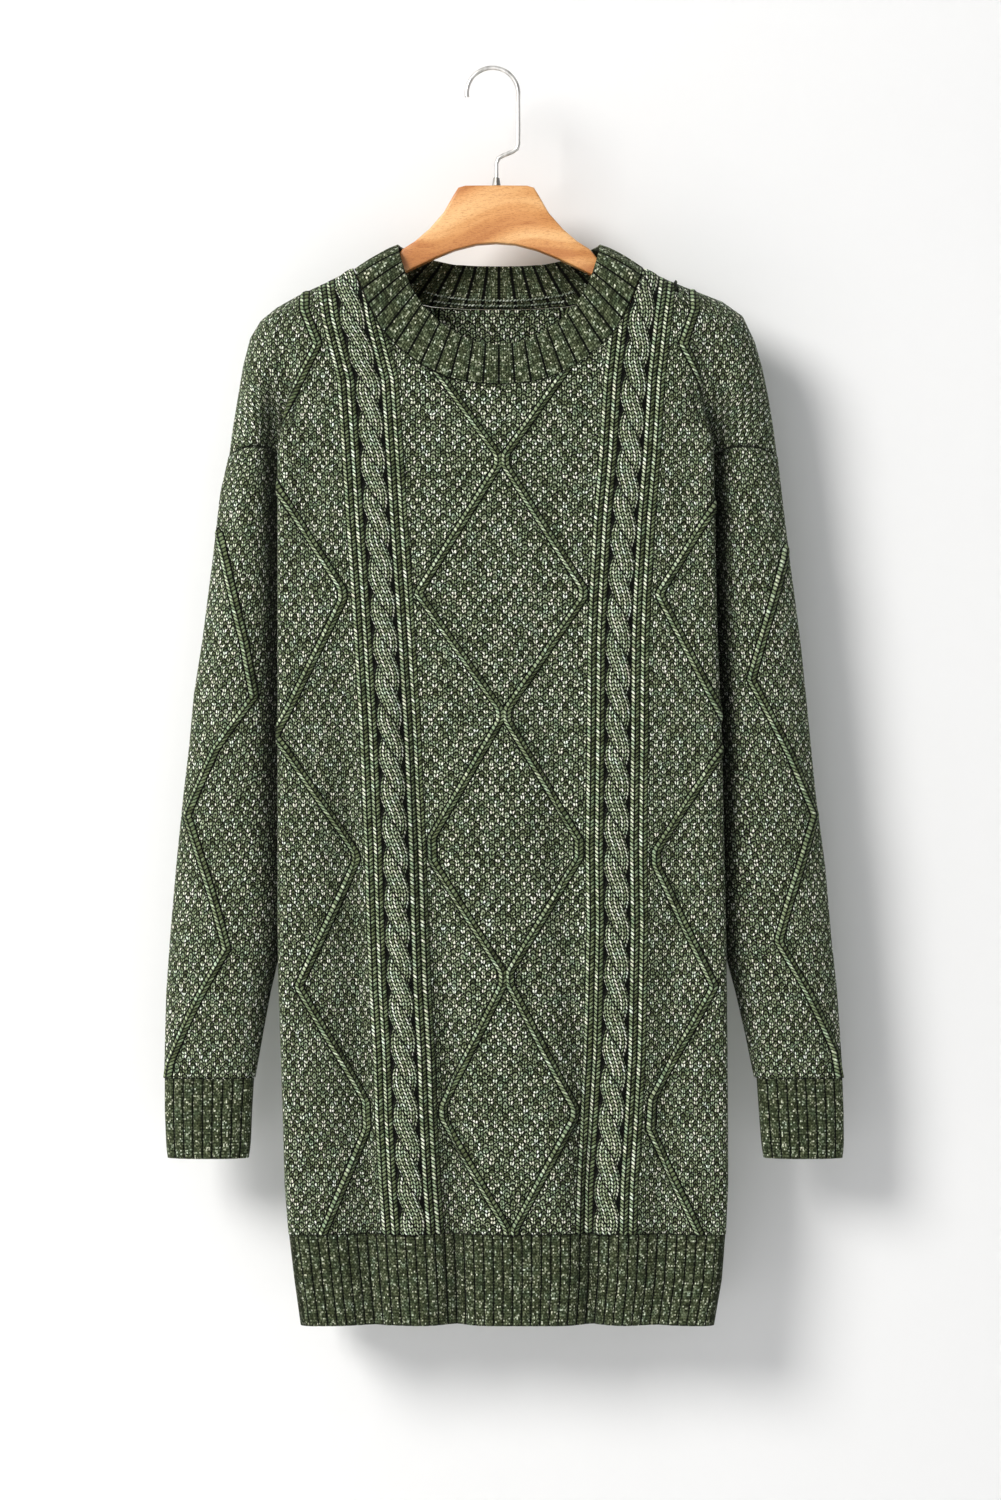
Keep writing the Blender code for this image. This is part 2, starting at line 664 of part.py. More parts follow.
def inner_rows(column, top, at_shoulder):
    """Rows of the plain inner face, wider apart than those of the outer one."""
    name = column["name"]
    bottom = ARMHOLE_Z + SEAM_GAP if name == "cap" else PANEL_BOTTOM
    if top <= bottom:
        return [bottom]
    steps = [top - step for step in TOP_STEPS if top - step > bottom + 2] if at_shoulder else [top]
    keep = FOLD_ROWS if name in EDGE_COLUMNS else ()
    return steps[:-1] + rows_between(steps[-1], bottom, INNER_STEP, keep)


def above_armhole(verts):
    return [item for item in verts if item[0] <= -(ARMHOLE_Z - SEAM_GAP)]


# ---- tubes: sleeves, cuffs, collar; and the hem ----
def sleeve_x(table, side, z, share):
    outer = look_up(table, z, 1 if side < 0 else 3)
    inner = look_up(table, z, 2 if side < 0 else 4)
    return outer + (inner - outer) * share, abs(inner - outer)


def tube_depth(share, width):
    return SLEEVE_DEPTH * roll(min(share, 1 - share) * width / SLEEVE_ROUND)


def sleeve_columns(side):
    """Columns round a sleeve: over the front from the outer to the inner edge, and back over the rear."""
    ridge_table = SLEEVE_RIDGE_LEFT if side < 0 else SLEEVE_RIDGE_RIGHT

    def column(mark, face):
        def share_at(z):
            width = sleeve_x(SLEEVE_TABLE, side, z, 0)[1]
            half = RIDGE_HALF_WIDTH / width
            ridge = min(max(look_up(ridge_table, z), half + 0.04), 0.96 - half)
            if isinstance(mark, str):
                return ridge + half * {"ridge-": -1, "ridge": 0, "ridge+": 1}[mark]
            if mark < RIDGE_SHARE:
                return mark / RIDGE_SHARE * (ridge - half)
            return ridge + half + (mark - RIDGE_SHARE) / (1 - RIDGE_SHARE) * (1 - ridge - half)

        def place(z):
            share = share_at(z)
            x, width = sleeve_x(SLEEVE_TABLE, side, z, share)
            return x, face * tube_depth(share, width)

        def relief(z):
            hidden = abs(place(z)[0]) < abs(body(z, "fold_left" if side < 0 else "fold_right")) - 4
            return MOSS + (RIDGE_HEIGHT if mark == "ridge" and not hidden else 0.0)
        return {"place": place, "relief": relief, "inner": mark not in ("ridge-", "ridge+", 0.66),
                "name": "ridge" if isinstance(mark, str) else "sleeve"}

    front = [column(mark, -1) for mark in SLEEVE_SHARES]
    rear = [column(mark, 1) for mark in SLEEVE_SHARES[1:-1][::-1]]
    return front + rear, ridge_table


def sleeve_top(side, column):
    """Height at which a column meets the armhole: level over the drop shoulder, then down to the underarm."""
    z = ARMHOLE_Z
    while abs(column["place"](z)[0]) < abs(edge_point("seam", z, side, BODY_DEPTH)[0]):
        z -= SEARCH_STEP
    return z


def tube_point(columns, index, z, top, lift):
    x, y, _ = sheet_point(columns, index, z, top, lift, True)
    return x, y, z


def tube(name, finish, columns, tops, bottom, rows_of):
    outer, inner = [], []
    for index, column in enumerate(columns):
        top = tops[index]
        place = index / len(columns)
        rows = rows_of(column, top, bottom)
        outer.append((place, [(-z, tube_point(columns, index, z, top, column["relief"](z))) for z in rows]))
        if column["inner"]:
            rows = rows_between(top, bottom, 2 * ROW_STEP)
            inner.append((place, [(-z, tube_point(columns, index, z, top, -WALL)) for z in rows]))
    make_wall(name, finish, outer, inner, closed=True)


def sleeve(name, side):
    columns, ridge_table = sleeve_columns(side)
    if side > 0:
        columns = columns[:1] + columns[:0:-1]
    tops = [sleeve_top(side, column) for column in columns]
    keep = [row[0] for row in ridge_table]

    def rows_of(column, top, bottom):
        return rows_between(top, bottom, ROW_STEP, keep if column["name"] == "ridge" else ())
    tube(name, "green_knit", columns, tops, SLEEVE_TABLE[-1][0] + SEAM_GAP, rows_of)


def cuff(name, side):
    columns = []
    ribs = CUFF_RIBS // 2
    shares = [(rib + step) / ribs for rib in range(ribs) for step in RIB_STEPS]
    for face, marks in ((-1, shares), (1, [1 - share for share in shares])):
        for index, share in enumerate(marks):
            groove = index % len(RIB_STEPS) == 0

            def place(z, share=share, face=face):
                x, width = sleeve_x(CUFF_TABLE, side, z, share)
                return x, face * tube_depth(share, width)
            relief = level(0.0 if groove else RIB_HEIGHT)
            columns.append({"place": place, "relief": relief, "inner": groove, "name": "rib"})
    if side > 0:
        columns = columns[:1] + columns[:0:-1]
    heights = [row[0] for row in CUFF_TABLE]

    def rows_of(column, top, bottom):
        return heights
    tube(name, "green_rib", columns, heights[:1] * len(columns), CUFF_BOTTOM, rows_of)


def hem_band(name, front):
    full = BODY_DEPTH if front else BACK_DEPTH
    turn = 1 if front else -1

    def edge(side, column_name):
        def place(z):
            x, depth = edge_point(column_name, z, side, full)
            return x, -depth
        return {"place": place, "relief": level(MOSS), "inner": True}

    def rib_column(share, lift, inner):
        def place(z):
            left, right = (edge_point("fold_start", z, side, full)[0] for side in (-1, 1))
            x = left + (right - left) * share
            return x, face_y(x, z, full)
        return {"place": place, "relief": level(lift), "inner": inner}

    columns = [edge(-1, column_name) for column_name in EDGE_COLUMNS]
    for rib in range(HEM_RIBS):
        for step, lift in zip(RIB_STEPS, (0.0, RIB_HEIGHT, RIB_HEIGHT)):
            if rib or step:
                columns.append(rib_column((rib + step) / HEM_RIBS, lift, step == 0.0 and rib % 2 == 0))
    columns += [edge(1, column_name) for column_name in EDGE_COLUMNS[::-1]]
    rows = [HEM_TOP, (HEM_TOP + HEM_BOTTOM) / 2, HEM_BOTTOM]
    sides = []
    for inner in (False, True):
        sheet = []
        for index, column in enumerate(columns):
            if inner and not column["inner"]:
                continue
            points = []
            for z in (rows[0], rows[-1]) if inner else rows:
                x, y, _ = sheet_point(columns, index, z, HEM_TOP, -WALL if inner else column["relief"](z))
                points.append((-z, (x, turn * min(y, -SEAM_GAP / 2), z)))
            sheet.append((index / (len(columns) - 1), points))
        sides.append(sheet)
    make_wall(name, "green_rib", *sides)


def collar_station(share, necklines):
    """Seam point and free-edge point of the neckband at a share of the way round from the front centre."""
    half = 1 - abs(2 * share - 1)
    side = 1 if share <= 0.5 else -1
    middles = [(Vector(row[:3]) + Vector(row[3:])) / 2 for row in COLLAR_TABLE]
    lengths = [0.0]
    for first, second in zip(middles, middles[1:]):
        lengths.append(lengths[-1] + (second - first).length)
    place = half * lengths[-1]
    values = [float(np.interp(place, lengths, [row[c] for row in COLLAR_TABLE])) for c in range(6)]
    front = values[1] < 0
    x = NECK_X + side * values[0]
    ends = necklines[0 if front else 1]
    y, z, ahead, behind = (float(np.interp(x + step, [end[0] for end in ends], [end[axis] for end in ends]))
                           for step, axis in ((0, 1), (0, 2), (1, 2), (-1, 2)))
    seam = Vector((x, y, z + SEAM_GAP * math.hypot(1.0, (ahead - behind) / 2)))
    edge = Vector((NECK_X + side * values[3], values[4], values[5]))
    return seam.lerp(edge, NECK_EASE), edge


def collar():
    """Ribbed neckband: columns round the neck, from the free edge down to the seam."""
    count = COLLAR_RIBS * len(RIB_STEPS)
    sides = [[], []]
    necklines = neck_edge(True), neck_edge(False)
    for index in range(count):
        rib, step = divmod(index, len(RIB_STEPS))
        share = (rib + RIB_STEPS[step]) / COLLAR_RIBS
        seam, edge = collar_station(share, necklines)
        ahead = sum(collar_station((share + COLLAR_PROBE) % 1.0, necklines), Vector())
        behind = sum(collar_station((share - COLLAR_PROBE) % 1.0, necklines), Vector())
        inward = (ahead - behind).cross(seam - edge).normalized()
        for number, lift in enumerate((RIB_HEIGHT if step else 0.0, -WALL)):
            if number and step:
                continue
            points = [(t, tuple(edge.lerp(seam, t) - inward * (lift + COLLAR_BULGE * math.sin(math.pi * t))))
                      for t in (COLLAR_ROWS if number == 0 else (0.0, INNER_END))]
            sides[number].append((share, points))
    make_wall("collar", "green_rib", *sides, closed=True)


# ---- hanger ----

def yoke_outline():
    """Front outline of the shaped middle and both arms, clockwise from the top centre."""
    points = []
    for side in (1, -1):
        upper = [(YOKE_X + side * x, z) for x, z in YOKE_UPPER]
        lower = [(YOKE_X + side * x, z) for x, z in YOKE_LOWER]
        start = YOKE_UPPER[-1][0] + ARM_START
        end = ARM_END_X if side > 0 else ARM_END_X - LEFT_ARM_SHORTER
        arm_top, arm_bottom = [], []
        for step in range(ARM_STEPS + 1):
            x = NECK_X + side * (start + (end - start) * step / ARM_STEPS)
            near_neck = 1 - ease(start, ARM_NECK_X, abs(x - NECK_X))
            top = shoulder_z(x) - ARM_DROP - (ARM_NECK_DROP - ARM_DROP) * near_neck
            arm_top.append((x, top))
            arm_bottom.append((x, top - ARM_HEIGHT + ARM_TAPER * step / ARM_STEPS))
        tip_x, tip_z = arm_top[-1]
        end_round = [(tip_x + side * 3, tip_z - 5), (tip_x + side * 3, tip_z - 12)]
        half = upper + arm_top + end_round + arm_bottom[:0:-1] + lower[::-1]
        points += half if side > 0 else half[::-1][1:-1]
    return points


def yoke():
    mesh = bmesh.new()
    corners = [mesh.verts.new(Vector((x, -YOKE_HALF_THICKNESS, z)) * MM) for x, z in yoke_outline()]
    face = mesh.faces.new(corners)
    made = bmesh.ops.extrude_face_region(mesh, geom=[face])
    moved = [item for item in made["geom"] if isinstance(item, bmesh.types.BMVert)]
    bmesh.ops.translate(mesh, verts=moved, vec=(0, 2 * YOKE_HALF_THICKNESS * MM, 0))
    rims = [edge for edge in mesh.edges if abs(edge.verts[0].co.y - edge.verts[1].co.y) < 1e-6]
    bmesh.ops.bevel(mesh, geom=rims, offset=YOKE_EASE * MM, segments=1, profile=0.5, affect='EDGES',
                    material=-1)
    bmesh.ops.triangulate(mesh, faces=mesh.faces)
    finish_mesh("hanger_yoke", "beech", mesh, sharp=25.0)


def hook():
    """Wire hook: over the rod, down, a short jog back to the middle, and down into the ferrule."""
    centre = HOOK_INNER_RADIUS + WIRE_RADIUS
    route = [(centre * math.cos(math.radians(a)), centre * math.sin(math.radians(a)) - HOOK_INNER_RADIUS)
             for a in range(188, -1, -12)]
    route += [(centre, HOOK_RUN_Z), (centre - 1.0, HOOK_RUN_Z - 3.4), (centre - 4.2, HOOK_RUN_Z - 5.6),
              (STEM_X + 5.5, STEM_TOP_Z + 3.4), (STEM_X + 1.6, STEM_TOP_Z + 1.0), (STEM_X, STEM_TOP_Z - 3.4),
              (STEM_X, YOKE_TOP_Z + FERRULE_LIFT + 0.3 + FERRULE_HEIGHT)]
    curve = bpy.data.curves.new("hanger_hook", 'CURVE')
    curve.dimensions = '3D'
    curve.bevel_depth = WIRE_RADIUS * MM
    curve.bevel_resolution = 2
    curve.use_fill_caps = True
    spline = curve.splines.new('POLY')
    spline.points.add(len(route) - 1)
    for point, (x, z) in zip(spline.points, route):
        point.co = (x * MM, 0.0, z * MM, 1.0)
    curve.materials.append(material("nickel_wire"))
    bpy.context.scene.collection.objects.link(bpy.data.objects.new("hanger_hook", curve))


def ferrule():
    mesh = bmesh.new()
    bmesh.ops.create_cone(mesh, cap_ends=True, segments=16, radius1=FERRULE_RADIUS * MM,
                          radius2=FERRULE_TOP_RADIUS * MM, depth=FERRULE_HEIGHT * MM)
    middle = Vector((STEM_X, 0, YOKE_TOP_Z + FERRULE_LIFT + FERRULE_HEIGHT / 2))
    bmesh.ops.translate(mesh, verts=mesh.verts, vec=middle * MM)
    finish_mesh("hook_ferrule", "nickel_wire", mesh)


def main():
    for old in list(bpy.data.objects):
        bpy.data.objects.remove(old, do_unlink=True)
    body_panel("front_panel", True)
    body_panel("back_panel", False)
    hem_band("hem_front", True)
    hem_band("hem_back", False)
    for side, word in ((-1, "left"), (1, "right")):
        sleeve("sleeve_" + word, side)
        cuff("cuff_" + word, side)
    collar()
    yoke()
    hook()
    ferrule()


main()
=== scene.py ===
"""Looks of the cable-knit sweater dress on its wooden hanger.

Sizes are in millimetres in the tables and in metres in the meshes.  Front is -Y, up is +Z, and the
origin is the inside top of the hanger's hook.
"""

import math

import bmesh
import bpy
import numpy as np
from mathutils import Matrix, Quaternion, Vector


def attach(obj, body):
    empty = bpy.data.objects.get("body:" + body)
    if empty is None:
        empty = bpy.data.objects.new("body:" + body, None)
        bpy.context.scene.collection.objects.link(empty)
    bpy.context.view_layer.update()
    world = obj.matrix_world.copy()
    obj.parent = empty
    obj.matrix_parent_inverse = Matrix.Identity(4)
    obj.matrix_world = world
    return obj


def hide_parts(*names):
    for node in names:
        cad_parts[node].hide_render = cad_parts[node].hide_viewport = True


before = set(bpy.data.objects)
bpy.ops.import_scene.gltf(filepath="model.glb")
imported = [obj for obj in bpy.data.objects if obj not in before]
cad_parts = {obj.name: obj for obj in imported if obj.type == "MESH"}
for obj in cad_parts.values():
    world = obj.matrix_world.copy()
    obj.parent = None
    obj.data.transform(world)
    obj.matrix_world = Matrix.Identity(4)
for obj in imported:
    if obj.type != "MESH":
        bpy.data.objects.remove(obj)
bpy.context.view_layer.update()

MM = 0.001

# ---- cloth ----
WALL = 2.4
SEAM_GAP = 0.4
MOSS = 0.6                # moss stitch over the grooves beside the cables
RIB_HEIGHT = 1.5
RIDGE_HEIGHT = 1.9
CABLE_HEIGHT = 2.8
CABLE_HALF_WIDTH = 10.0
CABLE_PITCH = 28.0
STRAND_HALF_WIDTH = 7.6
STRAND_SWING = 3.2
STRAND_LIFT = 0.72        # share of the cable's height that a strand has half way between its crossings
FRONT_LIFT, BEHIND_LIFT = 0.28, -0.4   # what a strand gains where it passes over, and loses underneath
CABLE_MARGIN = 0.6
FLANK_RIB = 7.0
FLANK_RIBS = 2
FLANK = CABLE_HALF_WIDTH + FLANK_RIB * FLANK_RIBS
RIDGE_HALF_WIDTH = 3.6
RIDGE_CREST = RIDGE_HALF_WIDTH * 0.85
RIDGE_FADE = 12.0         # a ridge narrows to nothing where it goes round the sleeve's edge
SEAM_ARCH = 7.0
SEAM_DENT, SEAM_DENT_WIDTH = 1.8, 2.0
SEAM_PUFF, PUFF_DOWN, PUFF_WIDTH = 0.7, 5.0, 2.4   # the sleeve swells again just under its seam
ARCH_FADE = 40.0
SEAM_ROWS = (0.0, 0.8, 1.6, 2.5, 3.6, 5.0, 6.6)
SIDE_MOSS = 0.2           # stitches are this much closer outside the middle panel
SIDE_MOSS_START = 75.0
TOP_FADE = 3.0            # the relief rises from nothing over this much of a panel's top

# ---- body ----
BODY_DEPTH = 30.0
BACK_DEPTH = 28.0
FOLD_RADIUS = 7.5
FOLD_REACH = 19.0
FOLD_STRAIGHT = 0.4       # share of a side fold's columns that lies behind the face
SHOULDER_ROUND = 40.0
SLEEVE_DEPTH = 12.5
SLEEVE_ROUND = 26.0
SLEEVE_SWELL = 5.5
SWELL_START, SWELL_END = (-215.0, -275.0), (-730.0, -786.0)
CREASE_DIP, CREASE_WIDTH = 7.0, 11.0
DIP_END = (-560.0, -700.0)
CAP_BLEND = (2.0, 26.0)   # inwards from the side fold, where the drop shoulder's depth becomes the body's
CAP_TOP_Z = -190.0
HEM_TOP = -905.0
HEM_BOTTOM = -975.0
UNDERARM_Z = -445.0
ARMHOLE_Z = -302.0
FOLD_START_Z = -236.0
FOLD_FULL_Z = -300.0

BODY_COLUMNS = ("z", "fold_left", "fold_right", "seam_left", "seam_right", "centre", "cable_left",
                "cable_right")
BODY_TABLE = (
    (-130, -166, 171, -166, 171, 4.5, -118, 124),
    (-198, -166, 171, -166, 171, 5.8, -108, 114.5),
    (-244, -166, 171, -166, 171, 6.6, -96.3, 109.5),
    (-302, -166, 171, -163, 168, 7.0, -92.4, 106),
    (-352, -166, 172, -148, 156, 7.2, -89.3, 101.8),
    (-411, -166, 173, -127, 140, 7.5, -85.2, 98.5),
    (-445, -166, 174, -115, 130, 7.9, -83.0, 97.2),
    (-520, -166, 177, -114, 129, 8.7, -78.6, 96.6),
    (-606, -166, 179, -116, 131, 9.6, -75.0, 95.6),
    (-665, -166, 180.3, -120, 136, 10.2, -73.3, 96.4),
    (-715, -165.2, 181, -125, 143, 10.8, -71.4, 95.5),
    (-766, -163.4, 181.5, -131, 150, 11.5, -68.4, 94.4),
    (-816, -161.8, 181.8, -136, 157, 12.2, -66.7, 91.7),
    (-867, -160.4, 182, -140, 161, 13.4, -64.0, 88.6),
    (-905, -157.4, 180.2, -141, 163, 14.4, -61.2, 87.6),
    (-940, -153.3, 177.5, -138, 161, 14.2, -58, 86),
    (-975, -148.4, 171.5, -134, 157, 13.8, -56, 84),
)
# Outline from the neck to the armhole: x and z on the left, x and z on the right
SHOULDER_TABLE = (
    (-77.6, -137.5, 80.7, -138.5),
    (-108.0, -155.0, 112.0, -152.5),
    (-131.4, -166.9, 137.7, -164.6),
    (-151.7, -176.3, 160.0, -173.5),
    (-168.1, -185.6, 179.0, -181.0),
    (-180.6, -195.8, 195.0, -192.5),
    (-189.0, -210.0, 204.5, -213.0),
    (-194.6, -232.4, 210.5, -234.0),
    (-198.5, -256.0, 215.5, -258.0),
    (-203.0, -283.0, 219.6, -284.0),
    (-205.5, -302.0, 221.9, -302.0),
)
# Sleeves and cuffs: z, outer and inner edge on the left, outer and inner edge on the right
SLEEVE_TABLE = (
    (-302, -205.5, -107, 221.9, 120),
    (-330, -211.8, -108.5, 225.0, 122),
    (-384, -218.0, -111.8, 231.5, 126),
    (-445, -225.8, -116.6, 239.5, 131.8),
    (-487, -232.4, -124.3, 243.8, 139.4),
    (-527, -236.0, -132.6, 247.7, 147.6),
    (-566, -240.6, -140.7, 251.6, 155.7),
    (-620, -246.1, -152.0, 258.8, 166.8),
    (-675, -250.8, -163.4, 263.5, 178.2),
    (-719, -253.9, -173.6, 268.2, 190.0),
    (-752, -254.8, -179.6, 270.4, 197.6),
    (-786, -255.5, -185.6, 272.6, 204.5),
)
CUFF_TABLE = (
    (-786, -255.5, -186.0, 272.6, 206.0),
    (-812, -255.4, -187.6, 273.6, 207.8),
    (-836, -254.4, -188.6, 273.8, 209.6),
    (-848, -253.4, -190.0, 273.0, 211.2),
)
CUFF_BOTTOM = -848.0
CUFF_RIBS = 18
HEM_RIBS = 43
HAND = {-1: "left", 1: "right"}

# Routes of the ridges: height, and distance from the body's centre or share of the sleeve's width
CENTRE_RIDGE = ((-236, 51), (-306.5, 0), (-409.5, 65), (-503, 0), (-607, 61.5), (-706, 0), (-811, 53),
                (-905, 0))
SIDE_RIDGE = ((-190, 151), (-217, 141), (-270, 168), (-300, 186), (-330, 172), (-410, 121), (-519, 176),
              (-613, 113.5), (-713, 160.5), (-812, 104.5), (-905, 146))
SLEEVE_RIDGES = {
    -1: ((-302, -0.15), (-345, -0.03), (-371, 0.06), (-445, 0.3), (-489, 0.44), (-530, 0.21), (-581, 0.05),
         (-685, 0.53), (-774, 0.06), (-786, 0.04)),
    1: ((-302, -0.2), (-350, -0.03), (-381, 0.04), (-476, 0.4), (-537, 0.17), (-581, 0.03), (-679, 0.5),
        (-765, 0.07), (-786, 0.04)),
}

# Soft vertical folds of the hanging cloth
FOLD_ROUTES = (
    {"x": ((-400, -114), (-700, -106), (-905, -94), (-975, -88)),
     "depth": ((-420, 0), (-600, 5), (-975, 5)), "width": 21},
    {"x": ((-400, -58), (-560, -54), (-700, -37), (-975, -28)),
     "depth": ((-400, 0), (-560, 5), (-975, 8)), "width": 15},
    {"x": ((-400, 45), (-600, 55), (-700, 68), (-975, 79)),
     "depth": ((-400, 0), (-640, 3.5), (-975, 8)), "width": 14},
    {"x": ((-500, 140), (-975, 128)), "depth": ((-560, 0), (-800, 2.5), (-975, 4)), "width": 18},
)

# Creases pressed into the folds; lean over 1 makes the left flank steeper than the right one
CREASES = (
    {"x": ((-400, -116), (-560, -110), (-760, -101), (-975, -90)),
     "depth": ((-400, 0), (-520, 3.4), (-700, 5.4), (-860, 4.6), (-975, 4.4)), "width": 10, "lean": 0.62},
    {"x": ((-330, -64), (-480, -62), (-600, -55), (-760, -34), (-975, -26)),
     "depth": ((-330, 0), (-440, 2.2), (-620, 4.2), (-800, 3.6), (-975, 4.8)), "width": 9, "lean": 0.7},
    {"x": ((-330, 36), (-520, 44), (-640, 53), (-760, 67), (-975, 77)),
     "depth": ((-330, 0), (-460, 2.4), (-600, 3.8), (-800, 4.4), (-975, 5.0)), "width": 9, "lean": 0.66},
    {"x": ((-470, 150), (-700, 141), (-975, 127)),
     "depth": ((-470, 0), (-640, 3.0), (-840, 4.2), (-975, 3.6)), "width": 11, "lean": 0.75},
    {"x": ((-250, 142), (-330, 150), (-470, 158)),
     "depth": ((-250, 0), (-330, 3.2), (-470, 0)), "width": 12, "lean": 0.8},
    {"x": ((-245, -128), (-320, -140), (-430, -150)),
     "depth": ((-245, 0), (-330, 3.0), (-430, 0)), "width": 11, "lean": 0.8},
)

# ---- collar ----
# Stations from the front centre round to the back centre: x, y, z on the seam and on the free edge
COLLAR_TABLE = (
    (0.0, -30.2, -248.4, 0.0, -29.5, -217.0),
    (20.0, -30.2, -247.2, 16.5, -29.0, -215.4),
    (41.0, -30.2, -242.8, 31.0, -28.3, -209.6),
    (61.0, -30.0, -232.6, 46.0, -27.0, -199.6),
    (78.0, -29.4, -219.6, 58.0, -25.0, -187.5),
    (92.0, -27.6, -204.0, 67.5, -21.8, -173.5),
    (102.5, -23.0, -183.0, 73.6, -15.8, -157.0),
    (110.0, -13.5, -164.0, 77.6, -10.5, -143.2),
    (112.4, 0.0, -157.0, 78.6, 0.5, -136.6),
    (108.5, 12.0, -159.5, 75.5, 11.0, -137.4),
    (97.0, 20.0, -167.5, 66.0, 18.0, -141.0),
    (78.0, 25.0, -176.0, 52.0, 22.5, -145.4),
    (54.0, 27.4, -181.5, 36.0, 25.0, -148.4),
    (27.0, 28.2, -183.6, 18.0, 26.0, -149.4),
    (0.0, 28.3, -184.0, 0.0, 26.2, -149.6),
)
NECK_X = 5.0
COLLAR_RIBS = 46
NECK_EASE = 0.03
COLLAR_BULGE = 1.2
COLLAR_HEIGHT = 34.0
SEAM_LAP = 0.025          # share of the neckband's height that laps into the seam, so no light shows through
CHAIN_DEPTH, CHAIN_HEIGHT = 0.55, 1.35
CHAIN_SLANT = math.radians(-28)
# Rows of linking stitches: height over the seam, rise at the ends, stitches, reach from the middle
CHAIN_ROWS = ((5.8, 3.0, 44, 60.0), (1.6, 1.4, 38, 52.0))

# ---- hanger ----
YOKE_HALF_THICKNESS = 6.0
YOKE_X = 2.8
YOKE_TOP_Z = -91.0
YOKE_EASE = 1.8
YOKE_UPPER = ((0, -90.6), (24, -90.8), (29.5, -92.4), (33, -98), (41, -112), (52, -124.5), (63, -134),
              (73, -140.4))
YOKE_LOWER = ((0, -135.5), (15, -136.6), (32, -141), (48, -147.4), (63, -154.6), (78, -162))
ARM_DROP = 6.2
ARM_NECK_DROP = 13.0
ARM_HEIGHT = 24.0
ARM_END_X = 174.0
ARM_START_GAP, ARM_FULL_X = 9.0, 126.0   # from the shaped middle, and where the arm reaches the shoulder
ARM_TAPER = 8.0
ARM_TIP = ((3, -5), (3, -12))
ARM_STEPS = 6
WIRE_SIDES = 16
WIRE_RADIUS = 1.75
HOOK_INNER_RADIUS = 18.3
HOOK_RUN_Z = -58.0
STEM_X = 3.0
STEM_TOP_Z = -70.0
FERRULE_RADIUS = 3.4
FERRULE_HEIGHT = 6.0

# ---- fineness of the meshes ----
FOLD_STEPS = 14
FACE_STEPS = (8, 5, 8, 10, 14, 10, 8, 5, 8)   # from the side fold to the centre line, between its tracks
SHOULDER_ROWS, FACE_ROWS = 58, 200
SHOULDER_SHARES = np.linspace(0.0, 1.0, SHOULDER_ROWS) ** 1.5
CAP_STEPS = 20
TUBE_STEPS, SLEEVE_ROWS = 120, 190
RIB_STEPS = 8
HEIGHT_STEP = 0.25        # fineness of the search for a column's top
FAR = 99.0                # distance given to cloth that has no cable or ridge near it

# ---- room, in metres ----
CAMERA_DISTANCE = 2.8
CAMERA_X, CAMERA_Z = 0.0062, -0.5304
VIEW_HEIGHT = 1.17
WALL_Y = 0.068
WALL_TOP_Z = 2.5
FLOOR_Z = -1.35
ROOM_HALF_WIDTH = 4.0
# Lamps: name, place, target, width, power and colour
LAMPS = (
    ("key", (-2.3, -2.85, 1.2), (0.0, 0.0, -0.55), 1.7, 165.0, (1.0, 0.985, 0.96)),
    ("fill", (-0.4, -4.4, -1.1), (0.0, 0.0, -0.55), 2.5, 20.0, (0.95, 0.98, 1.0)),
    ("rear", (0.6, 2.6, 0.6), (0.0, 0.0, -0.5), 2.5, 75.0, (1.0, 1.0, 1.0)),
)


# ---- readings of the tables, for arrays of heights ----

def read(table, z, column=1):
    """A column of a table whose first column is the height, between its rows."""
    rows = np.array(table, dtype=float)
    return np.interp(-np.asarray(z, dtype=float), -rows[:, 0], rows[:, column])


def body(z, name):
    """A named column of the body's table, at heights."""
    return read(BODY_TABLE, z, BODY_COLUMNS.index(name))


def sleeve_pair(table, z, side):
    """Outer and inner edge of a sleeve or a cuff."""
    outer = 1 if side < 0 else 3
    return read(table, z, outer), read(table, z, outer + 1)


def between(first, second, share):
    return first * (1 - share) + second * share


def run_along(points):
    """Distance along each row of points, from 0 at its first point."""
    steps = np.linalg.norm(np.diff(points, axis=-2), axis=-1)
    return np.concatenate([np.zeros(steps.shape[:-1] + (1,)), np.cumsum(steps, axis=-1)], axis=-1)


def ease(low, high, value):
    """A soft step from 0 at low to 1 at high; low may be the larger one."""
    share = np.clip((np.asarray(value, dtype=float) - low) / (high - low), 0.0, 1.0)
    return share * share * (3.0 - 2.0 * share)


def roll(share):
    """Height of a quarter round at a share of its width."""
    share = np.clip(share, 0.0, 1.0)
    return np.sqrt(1.0 - (1.0 - share) ** 2)


def shoulder_z(x):
    rows = np.array(SHOULDER_TABLE)
    left = np.interp(x, rows[::-1, 0], rows[::-1, 1])
    right = np.interp(x, rows[:, 2], rows[:, 3])
    return np.where(np.asarray(x) < NECK_X, left, right)


def distance_inside(x, z):
    """Distance from the nearest point of the shoulder's outline on the same side."""
    x, z = np.broadcast_arrays(np.asarray(x, dtype=float), np.asarray(z, dtype=float))
    best = np.full(x.shape, 1e9)
    for first in (0, 2):
        own = x < NECK_X if first == 0 else x >= NECK_X
        points = [(row[first], row[first + 1]) for row in SHOULDER_TABLE]
        for (ax, az), (bx, bz) in zip(points, points[1:]):
            run = (bx - ax) ** 2 + (bz - az) ** 2
            share = np.clip(((x - ax) * (bx - ax) + (z - az) * (bz - az)) / run, 0.0, 1.0)
            gap = np.hypot(x - ax - share * (bx - ax), z - az - share * (bz - az))
            best = np.where(own, np.minimum(best, gap), best)
    return best


